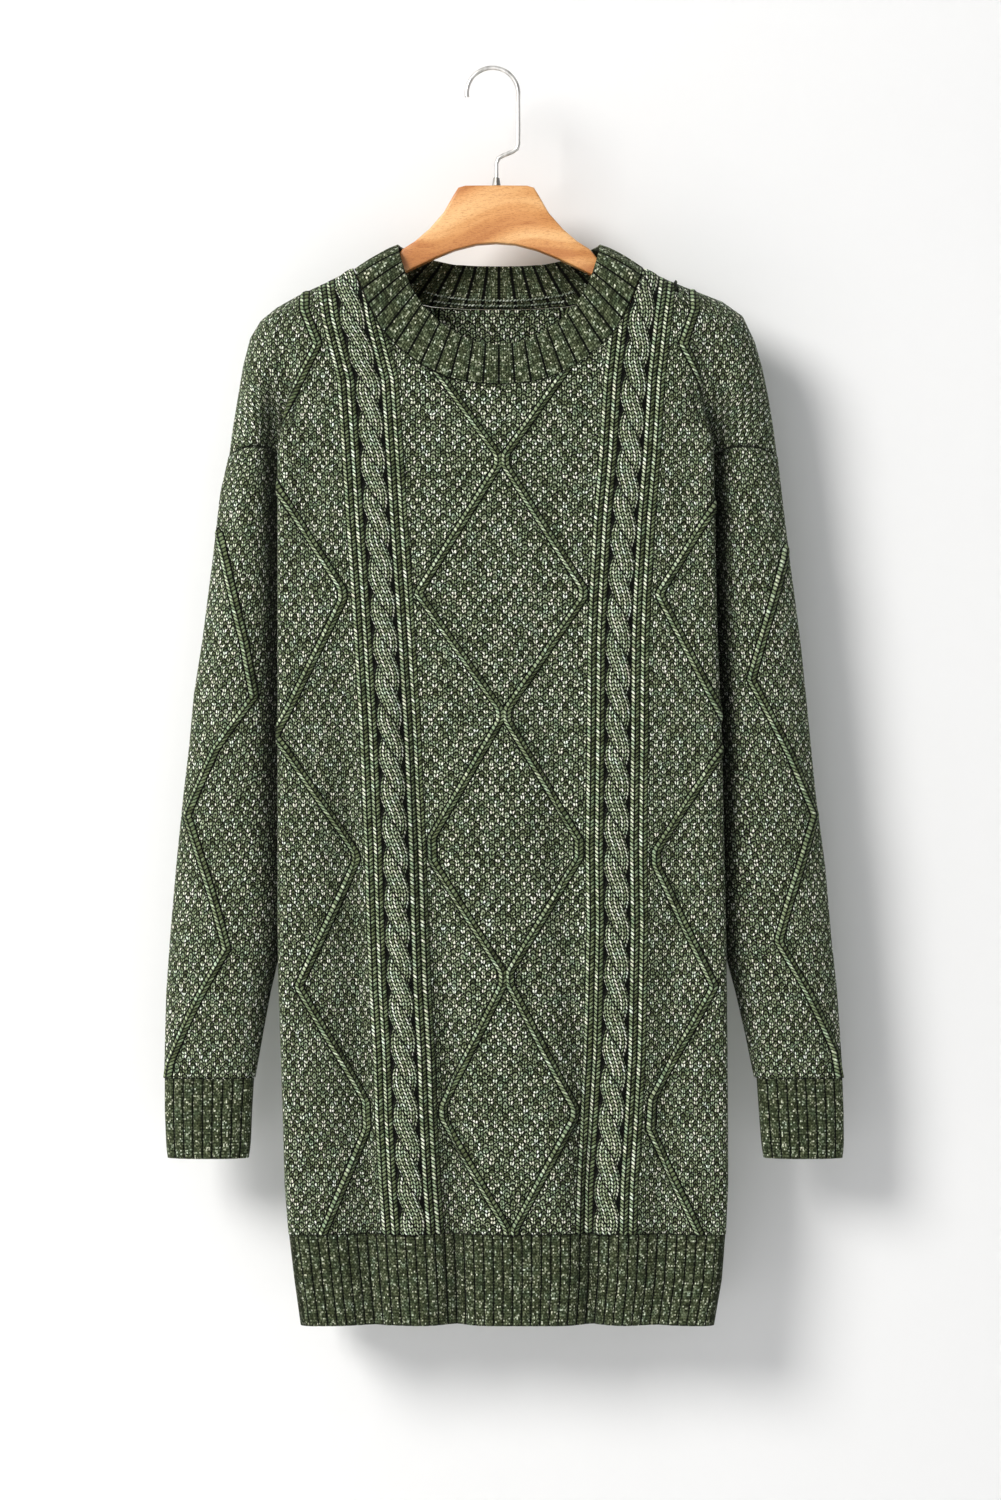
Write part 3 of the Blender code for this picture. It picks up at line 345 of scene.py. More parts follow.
def hanging_folds(x, z, full):
    """Depth of the soft folds and of the sharper creases in them; the back's creases are mirrored."""
    depth = 0.0
    for fold in FOLD_ROUTES:
        middle = read(fold["x"], z)
        depth = depth + read(fold["depth"], z) * np.exp(-((x - middle) / fold["width"]) ** 2)
    for crease in CREASES:
        middle = read(crease["x"], z)
        if full < BODY_DEPTH:
            middle = 2 * body(z, "centre") - middle
        gap = (x - middle) / crease["width"]
        sharp = np.exp(-np.where(gap < 0, gap * crease["lean"], gap / crease["lean"]) ** 2)
        depth = depth + read(crease["depth"], z) * sharp
    return depth


def plain_depth(x, z, full):
    """Depth of the shoulders, which roll over to their outline."""
    side_x = np.where(x < NECK_X, body(z, "fold_left"), body(z, "fold_right"))
    inwards = np.where(x < NECK_X, x - side_x, side_x - x)
    share = ease(*CAP_BLEND, inwards)
    cap = SLEEVE_DEPTH + (BACK_DEPTH - SLEEVE_DEPTH) * ease(ARMHOLE_Z, CAP_TOP_Z, z)
    depth = between(cap, full, share)
    turn = SLEEVE_ROUND + (SHOULDER_ROUND - SLEEVE_ROUND) * share
    return np.maximum(depth * roll(distance_inside(x, z) / turn), SEAM_GAP / 2)


def sleeve_edges(z, side):
    """A sleeve's outer edge, and the crease where it goes behind the body or, lower down, its inner edge."""
    table = np.array(SHOULDER_TABLE)[::-1]
    above = np.interp(z, table[:, 1 if side < 0 else 3], table[:, 0 if side < 0 else 2])
    outer, inner = sleeve_pair(SLEEVE_TABLE, z, side)
    crease = body(z, "fold_" + HAND[side])
    return np.where(z > ARMHOLE_Z, above, outer), side * np.maximum(side * inner, side * crease)


def sleeve_swell(x, z, side):
    """A sleeve rounds out in the middle, and dips where it meets the body's side fold."""
    outer, crease = sleeve_edges(z, side)
    from_crease = (x - crease) * side
    share = np.clip(from_crease / np.maximum(np.abs(outer - crease), 1.0), 0.0, 1.0)
    dip = CREASE_DIP * np.exp(-(from_crease / CREASE_WIDTH) ** 2) * (1.0 - ease(*DIP_END, z))
    rise = SLEEVE_SWELL * np.sin(math.pi * share)
    return (rise - dip) * ease(*SWELL_START, z) * (1.0 - ease(*SWELL_END, z))


def seam_arch(x, side):
    """The armhole seam bows upwards between the outer edge and the body."""
    outer, seam = sleeve_edges(ARMHOLE_Z, side)[0], body(ARMHOLE_Z, "seam_" + HAND[side])
    return SEAM_ARCH * np.sin(math.pi * np.clip((x - outer) / (seam - outer), 0.0, 1.0))


def face_depth(x, z, full):
    """Depth of a panel's face: rolled at the shoulders, full below them, less its folds."""
    made_up = ease(FOLD_START_Z, FOLD_FULL_Z, z)
    return between(plain_depth(x, z, full), full, made_up) - hanging_folds(x, z, full)


def armhole_depth(z, side):
    """Depth of the side seam, which opens into the armhole above the underarm."""
    gap = np.abs(sleeve_pair(SLEEVE_TABLE, z, side)[1] - body(z, "seam_" + HAND[side]))
    seam = np.maximum(SLEEVE_DEPTH * roll(gap / SLEEVE_ROUND), SEAM_GAP / 2) + SEAM_GAP / 2
    return np.where(z <= UNDERARM_Z, SEAM_GAP / 2, seam)


def fold_line(share, z, side, full):
    """A column of the side fold: share 0 is the side seam, 1 the start of the flat face."""
    outer = body(z, "fold_" + HAND[side])
    reach = np.abs(body(z, "seam_" + HAND[side]) - outer)
    flat_x = outer - side * FOLD_REACH * share
    back_layer = full - 2 * FOLD_RADIUS
    if share < FOLD_STRAIGHT:
        part = share / FOLD_STRAIGHT
        corner = np.minimum(4.0, reach * 0.3)
        drop = 1 - 0.2 * ease(UNDERARM_Z + 40, UNDERARM_Z - 20, z)
        places = (0.0, 0.25, 1.0)
        inwards = [reach, reach - corner, np.minimum(reach - corner, FOLD_RADIUS * 1.05)]
        seam_depth = armhole_depth(z, side)
        depths = [seam_depth, np.maximum(back_layer * drop, seam_depth + 0.4), back_layer + 0 * z]
        low = 0 if part < places[1] else 1
        part = (part - places[low]) / (places[low + 1] - places[low])
        folded_in, folded_depth = (between(*values[low:low + 2], part) for values in (inwards, depths))
    else:
        angle = math.pi * (share - FOLD_STRAIGHT) / (1 - FOLD_STRAIGHT)
        folded_in = FOLD_RADIUS * (1 - math.sin(angle)) + 0 * z
        folded_depth = full - FOLD_RADIUS - FOLD_RADIUS * math.cos(angle)
    made_up = ease(FOLD_START_Z, FOLD_FULL_Z, z)
    x = between(flat_x, outer - side * folded_in, made_up)
    depth = between(plain_depth(flat_x, z, full), folded_depth, made_up)
    return x, depth - hanging_folds(x, z, full) * made_up * ease(0.7, 1.0, share)


# ---- tracks across the face of a body panel ----

def cable_x(z, side):
    return body(z, "cable_" + HAND[side])


def side_ridge_x(z, side, whole=False):
    """Middle of a side ridge; the whole of it runs on round the side fold, past the face's own columns."""
    inner = np.abs(cable_x(z, side) + side * (FLANK + 3.0) - body(z, "centre")) + RIDGE_HALF_WIDTH
    outer = np.abs(fold_line(1.0, z, side, BODY_DEPTH)[0] - body(z, "centre")) - 3.0 - RIDGE_HALF_WIDTH
    middle = np.maximum(read(SIDE_RIDGE, z), inner)
    return body(z, "centre") + side * (middle if whole else np.minimum(middle, outer))


def centre_ridge_x(z, side, offset=0.0):
    widest = np.abs(cable_x(z, side) - side * FLANK - body(z, "centre")) - RIDGE_HALF_WIDTH - 1.0
    middle = np.minimum(read(CENTRE_RIDGE, z), widest) + offset
    return body(z, "centre") + side * np.maximum(middle, 2.6 + 0.55 * offset)


def face_tracks(z, side):
    """Lines that columns of the mesh follow, from the side fold to the centre."""
    cable = cable_x(z, side)
    ridge = side_ridge_x(z, side)
    return [fold_line(1.0, z, side, BODY_DEPTH)[0],
            ridge + side * RIDGE_HALF_WIDTH, ridge - side * RIDGE_HALF_WIDTH,
            cable + side * FLANK, cable + side * CABLE_HALF_WIDTH,
            cable - side * CABLE_HALF_WIDTH, cable - side * FLANK,
            centre_ridge_x(z, side, RIDGE_HALF_WIDTH), centre_ridge_x(z, side, -RIDGE_HALF_WIDTH),
            body(z, "centre")]


def body_lines(full):
    """Functions of height, one for each column of a body panel from the left side seam to the right one."""
    lines = []
    for side in (-1, 1):
        half = [lambda z, share=step / FOLD_STEPS, side=side: fold_line(share, z, side, full)
                for step in range(FOLD_STEPS)]
        for track, steps in enumerate(FACE_STEPS):
            for step in range(steps):
                def line(z, track=track, share=step / steps, side=side):
                    tracks = face_tracks(z, side)
                    x = between(tracks[track], tracks[track + 1], share)
                    return x, face_depth(x, z, full)
                half.append(line)
        lines.append(half)
    centre = [lambda z: (body(z, "centre"), face_depth(body(z, "centre"), z, full))]
    return lines[0] + centre + lines[1][::-1]


# ---- relief of the knitting over the plain wall, in millimetres ----

def rounded_rib(across, half_width, height):
    """A row of knit stitches standing as one rounded column."""
    return height * np.sqrt(np.clip(1.0 - (across / half_width) ** 2, 0.0, 1.0))


def cable_relief(x, z, side):
    """A rope cable with a column of knit stitches on each side, and grooves between them."""
    across = x - cable_x(z, side)
    turn = (-z / CABLE_PITCH) % 1.0
    swing = STRAND_SWING * np.cos(math.pi * turn)
    over = np.sin(math.pi * turn)
    front = rounded_rib(across + swing, STRAND_HALF_WIDTH, STRAND_LIFT + FRONT_LIFT * over)
    behind = rounded_rib(across - swing, STRAND_HALF_WIDTH, STRAND_LIFT + BEHIND_LIFT * over)
    rope = CABLE_HEIGHT * np.maximum(front, behind)
    beside = np.abs(across) - CABLE_HALF_WIDTH
    column = beside - FLANK_RIB * (np.floor(beside / FLANK_RIB) + 0.5)
    flank = rounded_rib(column, FLANK_RIB * 0.46, RIB_HEIGHT)
    height = np.where(beside < 0, rope, np.where(beside < FLANK_RIB * FLANK_RIBS, flank, MOSS))
    return np.where(np.abs(across) > FLANK + CABLE_MARGIN, MOSS, height)


def ridge_relief(x, z):
    height = 0.0
    for side in (-1, 1):
        for middle in (side_ridge_x(z, side, True), centre_ridge_x(z, side)):
            height = np.maximum(height, rounded_rib(x - middle, RIDGE_CREST, RIDGE_HEIGHT))
    return height


def body_relief(x, z):
    relief = MOSS + ridge_relief(x, z)
    for side in (-1, 1):
        near = np.abs(x - cable_x(z, side)) < FLANK + CABLE_MARGIN
        relief = np.where(near, cable_relief(x, z, side), relief)
    return relief


# ---- meshes from a grid of mapped points ----

def outward(points, closed=False):
    """Unit normals of a grid of points, columns running to the right and rows running down."""
    if closed:
        across = np.roll(points, -1, axis=1) - np.roll(points, 1, axis=1)
    else:
        across = np.gradient(points, axis=1)
    normal = np.cross(np.gradient(points, axis=0), across)
    return normal / np.maximum(np.linalg.norm(normal, axis=2, keepdims=True), 1e-9)


def add_grid(mesh, points, values, closed=False):
    """Add a grid, moved to the given rows and columns of points (mm), with its values at each point."""
    if closed:
        points = np.concatenate([points, points[:, :1]], axis=1)
        values = {name: np.concatenate([value, value[:, :1]], axis=1)
                  for name, value in values.items()}
    rows, columns = points.shape[:2]
    for name in values:
        if not mesh.verts.layers.float.get(name):
            mesh.verts.layers.float.new(name)
    layers = {name: mesh.verts.layers.float.get(name) for name in values}
    made = bmesh.ops.create_grid(mesh, x_segments=columns - 1, y_segments=rows - 1, size=1.0)
    for vert in made["verts"]:
        column = round((vert.co.x + 1.0) / 2 * (columns - 1))
        row = round((1.0 - vert.co.y) / 2 * (rows - 1))
        vert.co = Vector(points[row, column]) * MM
        for name, layer in layers.items():
            vert[layer] = float(values[name][row, column])


def new_piece(name, mesh, finish):
    data = bpy.data.meshes.new(name)
    mesh.to_mesh(data)
    mesh.free()
    data.shade_smooth()
    data.materials.append(finish)
    piece = bpy.data.objects.new(name, data)
    bpy.context.scene.collection.objects.link(piece)
    return piece


def plain_piece(name, mesh, finish, sharp):
    """Object of a solid mesh, with hard edges where it turns by more than the given degrees."""
    piece = new_piece(name, mesh, finish)
    piece.data.set_sharp_from_angle(angle=math.radians(sharp))
    return piece


def cloth_piece(name, mesh, finish, flip=False):
    """Weld the grids of one piece, give it its thickness inwards, and make the object."""
    bmesh.ops.remove_doubles(mesh, verts=mesh.verts, dist=0.02 * MM)
    if flip:
        bmesh.ops.reverse_faces(mesh, faces=mesh.faces)
    piece = new_piece(name, mesh, finish)
    thickness = piece.modifiers.new("wall", 'SOLIDIFY')
    thickness.thickness = WALL * MM
    thickness.offset = -1.0
    thickness.use_rim = True
    return piece


# ---- body panels ----

def neckline(x, front):
    """Height of the neckband's seam, or 0 beside it."""
    rows = np.array(COLLAR_TABLE[:9] if front else COLLAR_TABLE[8:][::-1])
    offset = np.abs(x - NECK_X)
    return np.where(offset >= rows[-1, 0], 0.0, np.interp(offset, rows[:, 0], rows[:, 2]))


def top_of(line, front):
    """Height at which a column of the panel meets the neckline or the shoulder seam."""
    heights = np.arange(BODY_TABLE[0][0], ARMHOLE_Z, -HEIGHT_STEP)
    x = line(heights)[0]
    return heights[np.argmax(heights <= np.minimum(shoulder_z(x), neckline(x, front)))]


def panel_rows(top):
    """Heights of a column's points: close together where the shoulder rolls over, then even."""
    upper = top + (ARMHOLE_Z - top) * SHOULDER_SHARES
    lower = np.linspace(ARMHOLE_Z, HEM_TOP + SEAM_GAP, FACE_ROWS + 1)[1:]
    return np.concatenate([upper, lower])


def panel_grid(front):
    """Base points of a panel's face (x, depth, z), without its knitted relief."""
    full = BODY_DEPTH if front else BACK_DEPTH
    columns = []
    for line in body_lines(full):
        z = panel_rows(top_of(line, front))
        x, depth = line(z)
        columns.append(np.stack([x + 0 * z, depth + 0 * z, z], axis=1))
    return np.stack(columns, axis=1)


def outline_points(side, top, share):
    """Points down the drop shoulder's outline, at shares of its run from the seam column's top."""
    first = 0 if side < 0 else 2
    points = np.array([(row[first], row[first + 1]) for row in SHOULDER_TABLE])
    start = (float(np.interp(-top[1], -points[:, 1], points[:, 0])), top[1])
    points = np.array([start] + [tuple(point) for point in points if point[1] < top[1] - 0.5])
    lengths = run_along(points)
    return np.stack([np.interp(share * lengths[-1], lengths, points[:, axis]) for axis in (0, 1)], axis=1)


def cap_grid(seam, side, full):
    """Base points of the drop-shoulder cap outside a panel's seam column."""
    rows = seam[:SHOULDER_ROWS]
    outer = outline_points(side, (rows[0, 0], rows[0, 2]), SHOULDER_SHARES)
    share = np.linspace(0.0, 1.0, CAP_STEPS + 1)[None, :] ** 1.6
    x, z = between(outer[:, :1], rows[:, :1], share), between(outer[:, 1:], rows[:, 2:], share)
    depth = between(plain_depth(x, z, full), rows[:, 1:2], ease(0.6, 1.0, share))
    swell = sleeve_swell(x, z, side) * roll(distance_inside(x, z) / SLEEVE_ROUND)
    dent = SEAM_DENT * np.exp(-((z - ARMHOLE_Z) / SEAM_DENT_WIDTH) ** 2)
    depth = np.maximum(depth + (swell - dent) * (1 - share ** 6), SEAM_GAP / 2)
    z = z + seam_arch(x, side) * np.linspace(0.0, 1.0, SHOULDER_ROWS)[:, None] ** 3
    grid = np.stack([x, depth, z], axis=2)
    return grid if side < 0 else grid[:, ::-1]


def place(points, front):
    """Turn (x, depth, z) into (x, y, z), in front of or behind the middle plane."""
    turned = points.copy()
    turned[:, :, 1] *= -1.0 if front else 1.0
    return turned


def cloth_values(x, z, across):
    """Distances that the knitting follows: from the nearest cable and ridge, and along the cloth."""
    from_cable = np.full(x.shape, FAR)
    from_ridge = np.full(x.shape, FAR)
    for side in (-1, 1):
        gap = x - cable_x(z, side)
        from_cable = np.where(np.abs(gap) < np.abs(from_cable), gap, from_cable)
        for middle in (side_ridge_x(z, side, True), centre_ridge_x(z, side)):
            gap = x - middle
            from_ridge = np.where(np.abs(gap) < np.abs(from_ridge), gap, from_ridge)
    closer = across + np.sign(across) * SIDE_MOSS * np.maximum(np.abs(across) - SIDE_MOSS_START, 0.0)
    return {"from_cable": from_cable, "near_cable": np.abs(from_cable), "from_ridge": from_ridge,
            "near_ridge": np.abs(from_ridge), "across": closer, "along": z}


def measured_across(points, middle):
    """Distance over the cloth from its middle column, so that stitches keep their size in the folds."""
    run = run_along(points[:, :, :2])
    return run - run[:, [middle]]


def body_panel(name, front, finish):
    """A panel's face with its relief, side folds and both drop-shoulder caps."""
    full = BODY_DEPTH if front else BACK_DEPTH
    base = panel_grid(front)
    across = measured_across(base, base.shape[1] // 2)
    mesh = bmesh.new()
    x, z = base[:, :, 0], base[:, :, 2]
    values = cloth_values(x, z, across)
    column = np.arange(base.shape[1])
    from_fold = np.minimum(column, column[::-1]) - 0.5 * FOLD_STEPS
    open_face = np.clip(from_fold / 4.0, 0.0, 1.0)[None, :]
    for key in ("near_cable", "near_ridge"):
        values[key] = np.where(open_face > 0, values[key], FAR)
    points = place(base, front)
    normal = outward(points) * (1.0 if front else -1.0)
    from_top = ease(0.0, TOP_FADE, z[:1] - z)
    raised = points + normal * (body_relief(x, z) * open_face * from_top)[:, :, None]
    raised[:, :, 1] = np.where(front, np.minimum(raised[:, :, 1], -SEAM_GAP / 2),
                               np.maximum(raised[:, :, 1], SEAM_GAP / 2))
    raised[0, :, 2] = points[0, :, 2]
    at_shoulder = shoulder_z(x[0]) <= neckline(x[0], front)
    raised[0, at_shoulder, 1] = 0.0   # front and back meet along the shoulder seam
    add_grid(mesh, raised, values)
    for side, seam in ((-1, 0), (1, -1)):
        cap = cap_grid(base[:, seam], side, full)
        start = across[:SHOULDER_ROWS, seam]
        run = measured_across(cap, -1 if side < 0 else 0)
        values = cloth_values(cap[:, :, 0], cap[:, :, 2], start[:, None] + run)
        for key in ("near_cable", "near_ridge"):
            values[key][:] = FAR
        add_grid(mesh, place(cap, front), values)
    return cloth_piece(name, mesh, finish, flip=not front)


# ---- sleeves, cuffs, hem and collar ----

def tube_shares(count):
    """Shares of the width round a flat tube: over the front from the outer edge, back over the rear."""
    angle = np.linspace(0.0, 2 * math.pi, count, endpoint=False)
    return (1 - np.cos(angle)) / 2, np.where(angle < math.pi, 1.0, -1.0)


def tube_depth(share, width):
    return SLEEVE_DEPTH * roll(np.minimum(share, 1 - share) * width / SLEEVE_ROUND)


def tube_base(table, side, share, face, z):
    """Column of a sleeve or cuff: face is 1 in front and -1 behind."""
    outer, inner = sleeve_pair(table, z, side)
    x = outer + (inner - outer) * share
    depth = tube_depth(share, np.abs(inner - outer)) + sleeve_swell(x, z, side)
    return np.stack([x, face * np.maximum(depth, SEAM_GAP), z + 0 * x], axis=-1)


def sleeve_top(side, share):
    """Height of the armhole seam, or of the crease where the sleeve goes behind the body."""
    heights = np.arange(ARMHOLE_Z, UNDERARM_Z - 35.0, -HEIGHT_STEP)
    x = tube_base(SLEEVE_TABLE, side, share, 1.0, heights)[:, 0]
    seam = fold_line(0.0, heights, side, BODY_DEPTH)[0]
    return heights[np.argmax(np.abs(x) >= np.abs(seam))]


def tube_points(columns, side):
    """Points of a tube, in order so that its outside faces out on both sides of the body."""
    points = np.stack(columns, axis=1)
    points[:, :, 1] *= -1.0
    return points if side < 0 else np.concatenate([points[:, :1], points[:, :0:-1]], axis=1)


def girth(points):
    """Distance round a tube from its first column, out to half way and back, so that it closes."""
    level = points[:, :, :2]
    run = run_along(level)
    half = (run[:, -1:] + np.linalg.norm(level[:, :1] - level[:, -1:], axis=2)) / 2
    return half - np.abs(run - half)


def sleeve(name, side, finish):
    """A sleeve from the armhole seam to its cuff, with its travelling ridge."""
    end = SLEEVE_TABLE[-1][0] + SEAM_GAP
    columns = []
    for share, face in zip(*tube_shares(TUBE_STEPS)):
        top = sleeve_top(side, share)
        below = np.linspace(top - SEAM_ROWS[-1] - 2.0, end, SLEEVE_ROWS)
        z = np.concatenate([top - np.array(SEAM_ROWS), below])
        column = tube_base(SLEEVE_TABLE, side, share, face, z)
        from_top = top - z
        dent = np.exp(-(from_top / SEAM_DENT_WIDTH) ** 2)
        dent = dent - SEAM_PUFF * np.exp(-((from_top - PUFF_DOWN) / PUFF_WIDTH) ** 2)
        column[:, 1] -= face * SEAM_DENT * dent * ease(0.0, 0.12, share)
        if top > ARMHOLE_Z - 1:
            column[:, 2] += seam_arch(column[0, 0], side) * (1.0 - ease(0.0, ARCH_FADE, from_top))
        columns.append(column)
    points = tube_points(columns, side)
    x, z = points[:, :, 0], points[:, :, 2]
    outer, inner = sleeve_pair(SLEEVE_TABLE, z, side)
    ridge = read(SLEEVE_RIDGES[side], z)
    gone = 1.0 - ease(-0.02, 0.03, ridge)
    from_ridge = x - (outer + (inner - outer) * ridge)
    from_ridge = from_ridge + np.where(from_ridge < 0, -1.0, 1.0) * gone * RIDGE_FADE
    relief = MOSS + rounded_rib(from_ridge, RIDGE_CREST, RIDGE_HEIGHT)
    raised = points + outward(points, closed=True) * relief[:, :, None]
    raised[0, :, 2] = z[0]
    raised[-1, :, 2] = z[-1]
    mesh = bmesh.new()
    no_cable = np.full(x.shape, FAR)
    values = {"from_cable": no_cable, "near_cable": no_cable, "from_ridge": from_ridge,
              "near_ridge": np.abs(from_ridge), "across": girth(points) * (1.0 + SIDE_MOSS), "along": z}
    add_grid(mesh, raised, values, closed=True)
    return cloth_piece(name, mesh, finish)


def rib_relief(count):
    """Heights round one rib after another: a groove, then a rounded crest."""
    step = (np.arange(count * RIB_STEPS) % RIB_STEPS) / RIB_STEPS
    return RIB_HEIGHT * np.sqrt(np.clip(1.0 - ((step - 0.5) / 0.47) ** 2, 0.0, 1.0)), step


def rib_values(relief, step, points):
    """How far each point is from its rib's crest (0) towards the groove (1), and where its stitches lie."""
    ones = np.ones(points.shape[:2])
    round_it = girth(points).mean(axis=0)
    return {"rib": ones * np.abs(2 * step - 1)[None, :], "across": ones * round_it[None, :],
            "along": points[:, :, 2] * 1.0}


def cuff(name, side, finish):
    """Ribbed tube at the end of a sleeve."""
    relief, step = rib_relief(CUFF_RIBS)
    marks = np.arange(CUFF_RIBS * RIB_STEPS) / (CUFF_RIBS * RIB_STEPS / 2)
    shares, faces = np.where(marks < 1, marks, 2 - marks), np.where(marks < 1, 1.0, -1.0)
    z = np.linspace(CUFF_TABLE[0][0], CUFF_BOTTOM, 24)
    columns = [tube_base(CUFF_TABLE, side, share, face, z) for share, face in zip(shares, faces)]
    points = tube_points(columns, side)
    if side > 0:
        relief, step = (np.concatenate([line[:1], line[:0:-1]]) for line in (relief, step))
    height = relief[None, :] * rolled_edge(z, CUFF_BOTTOM)
    raised = points + outward(points, closed=True) * height[:, :, None]
    raised[:, :, 2] = points[:, :, 2]
    mesh = bmesh.new()
    add_grid(mesh, raised, rib_values(relief, step, points), closed=True)
    return cloth_piece(name, mesh, finish)


def rolled_edge(z, end):
    """Ribs sink a little into the cast-off edge."""
    return (0.55 + 0.45 * ease(0.0, 5.0, np.abs(z - end)))[:, None]


def fold_columns(z, side, full):
    """Columns of the hem round a side fold, from the side seam to the flat face."""
    return [np.stack(np.broadcast_arrays(*fold_line(step / FOLD_STEPS, z, side, full), z), axis=1)
            for step in range(FOLD_STEPS)]


def hem(name, front, finish):
    """Ribbed band under a panel, round both of its side folds."""
    full = BODY_DEPTH if front else BACK_DEPTH
    z = np.linspace(HEM_TOP, HEM_BOTTOM, 26)
    relief, step = rib_relief(HEM_RIBS)
    relief, step = np.append(relief, 0.0), np.append(step, 0.0)
    left, right = (fold_line(1.0, z, side, full)[0] for side in (-1, 1))
    face = []
    for index in range(len(relief)):
        x = left + (right - left) * index / (len(relief) - 1)
        face.append(np.stack([x, face_depth(x, z, full), z], axis=1))
    columns = fold_columns(z, -1, full) + face + fold_columns(z, 1, full)[::-1]
    points = place(np.stack(columns, axis=1), front)
    blank = np.zeros(FOLD_STEPS)
    relief, step = np.concatenate([blank, relief, blank]), np.concatenate([blank + 0.5, step, blank + 0.5])
    normal = outward(points) * (1.0 if front else -1.0)
    raised = points + normal * (relief[None, :] * rolled_edge(z, HEM_BOTTOM))[:, :, None]
    raised[:, :, 2] = points[:, :, 2]
    mesh = bmesh.new()
    add_grid(mesh, raised, rib_values(relief, step, points))
    return cloth_piece(name, mesh, finish, flip=not front)


def neck_edge(front):
    """Top ends of a panel's columns along the neckline: rows of x, y, z from left to right."""
    base = place(panel_grid(front), front)[0]
    return base[np.abs(base[:, 0] - NECK_X) < COLLAR_TABLE[8][0] + 6]


def collar_station(share, necklines):
    """Seam point and free-edge point of the neckband, at a share of the way round from the front centre."""
    table = np.array(COLLAR_TABLE)
    half = 1 - abs(2 * share - 1)
    side = 1 if share <= 0.5 else -1
    middles = (table[:, :3] + table[:, 3:]) / 2
    lengths = run_along(middles)
    values = [np.interp(half * lengths[-1], lengths, table[:, column]) for column in range(6)]
    x = NECK_X + side * values[0]
    ends = necklines[0 if values[1] < 0 else 1]
    y, z, ahead, behind = (np.interp(x + shift, ends[:, 0], ends[:, axis])
                           for shift, axis in ((0, 1), (0, 2), (1, 2), (-1, 2)))
    seam = np.array((x, y, z + SEAM_GAP * math.hypot(1.0, (ahead - behind) / 2)))
    edge = np.array((NECK_X + side * values[3], values[4], values[5]))
    return between(seam, edge, NECK_EASE), edge


def collar(name, finish):
    """Ribbed neckband, from its free edge down to the seam."""
    necklines = neck_edge(True), neck_edge(False)
    relief, step = rib_relief(COLLAR_RIBS)
    marks = np.arange(len(relief)) / len(relief)
    down = np.append(np.linspace(0.0, 1.0, 18), 1.0 + SEAM_LAP)[:, None]
    columns = []
    for mark in marks:
        seam, edge = collar_station(mark, necklines)
        columns.append(between(edge, seam, down))
    points = np.stack(columns, axis=1)
    bulge = COLLAR_BULGE * np.sin(math.pi * down) + relief[None, :] * (0.55 + 0.45 * ease(0.0, 0.2, down))
    raised = points + outward(points, closed=True) * bulge[:, :, None]
    mesh = bmesh.new()
    values = rib_values(relief, step, points)
    values["along"] = -down * COLLAR_HEIGHT * np.ones(points.shape[:2])
    add_grid(mesh, raised, values, closed=True)
    return cloth_piece(name, mesh, finish)


def neck_stitches(name, finish):
    """Chained rows that link the neckband to the back, on the inside: short slanted stitches end to end."""
    necklines = neck_edge(True), neck_edge(False)
    shares = np.linspace(0.3, 0.7, 161)
    stations = [collar_station(share, necklines) for share in shares]
    mesh = bmesh.new()
    for height, rise, count, reach in CHAIN_ROWS:
        line = []
        for seam, edge in stations:
            offset = abs(seam[0] - NECK_X)
            up = (edge - seam) / np.linalg.norm(edge - seam)
            lifted = seam + up * (height + rise * (offset / reach) ** 2)
            inwards = np.array((NECK_X - lifted[0], -lifted[1] * 1.6, 0.0))
            line.append(lifted + inwards / np.linalg.norm(inwards) * (WALL + CHAIN_DEPTH))
        line = np.array([point for point in line if abs(point[0] - NECK_X) < reach])
        lengths = run_along(line)
        for index in range(count):
            at = (index + 0.5) / count * lengths[-1]
            middle, ahead = (Vector([float(np.interp(place_at, lengths, line[:, axis])) for axis in range(3)])
                             for place_at in (at, at + 0.5))
            run = (ahead - middle).normalized()
            slant = Quaternion((0.0, 1.0, 0.0), math.copysign(CHAIN_SLANT, -run.x))
            turn = run.to_track_quat('X', 'Z') @ slant
            uneven = 1.0 + 0.14 * math.sin(index * 2.4 + height)
            size = Vector((lengths[-1] / count * 1.06 * uneven, CHAIN_DEPTH * 2.0, CHAIN_HEIGHT * uneven))
            made = bmesh.ops.create_icosphere(mesh, subdivisions=2, radius=0.5)
            shape = Matrix.LocRotScale(middle * MM, turn, size * MM)
            bmesh.ops.transform(mesh, matrix=shape, verts=made["verts"])
    return plain_piece(name, mesh, finish, 80.0)


# ---- hanger ----

def yoke_outline():
    """Front outline of the shaped middle and both arms, clockwise from the top centre."""
    points = []
    for side in (1, -1):
        upper = [(YOKE_X + side * x, z) for x, z in YOKE_UPPER]
        lower = [(YOKE_X + side * x, z) for x, z in YOKE_LOWER]
        start, end = YOKE_UPPER[-1][0] + ARM_START_GAP, ARM_END_X if side > 0 else ARM_END_X - 12
        arm_top, arm_bottom = [], []
        for step in range(ARM_STEPS + 1):
            x = NECK_X + side * (start + (end - start) * step / ARM_STEPS)
            drop = ARM_DROP + (ARM_NECK_DROP - ARM_DROP) * (1 - ease(start, ARM_FULL_X, abs(x - NECK_X)))
            top = float(shoulder_z(x)) - float(drop)
            arm_top.append((x, top))
            arm_bottom.append((x, top - ARM_HEIGHT + ARM_TAPER * step / ARM_STEPS))
        tip_x, tip_z = arm_top[-1]
        end_round = [(tip_x + side * out, tip_z + up) for out, up in ARM_TIP]
        half = upper + arm_top + end_round + arm_bottom[:0:-1] + lower[::-1]
        points += half if side > 0 else half[::-1][1:-1]
    return points


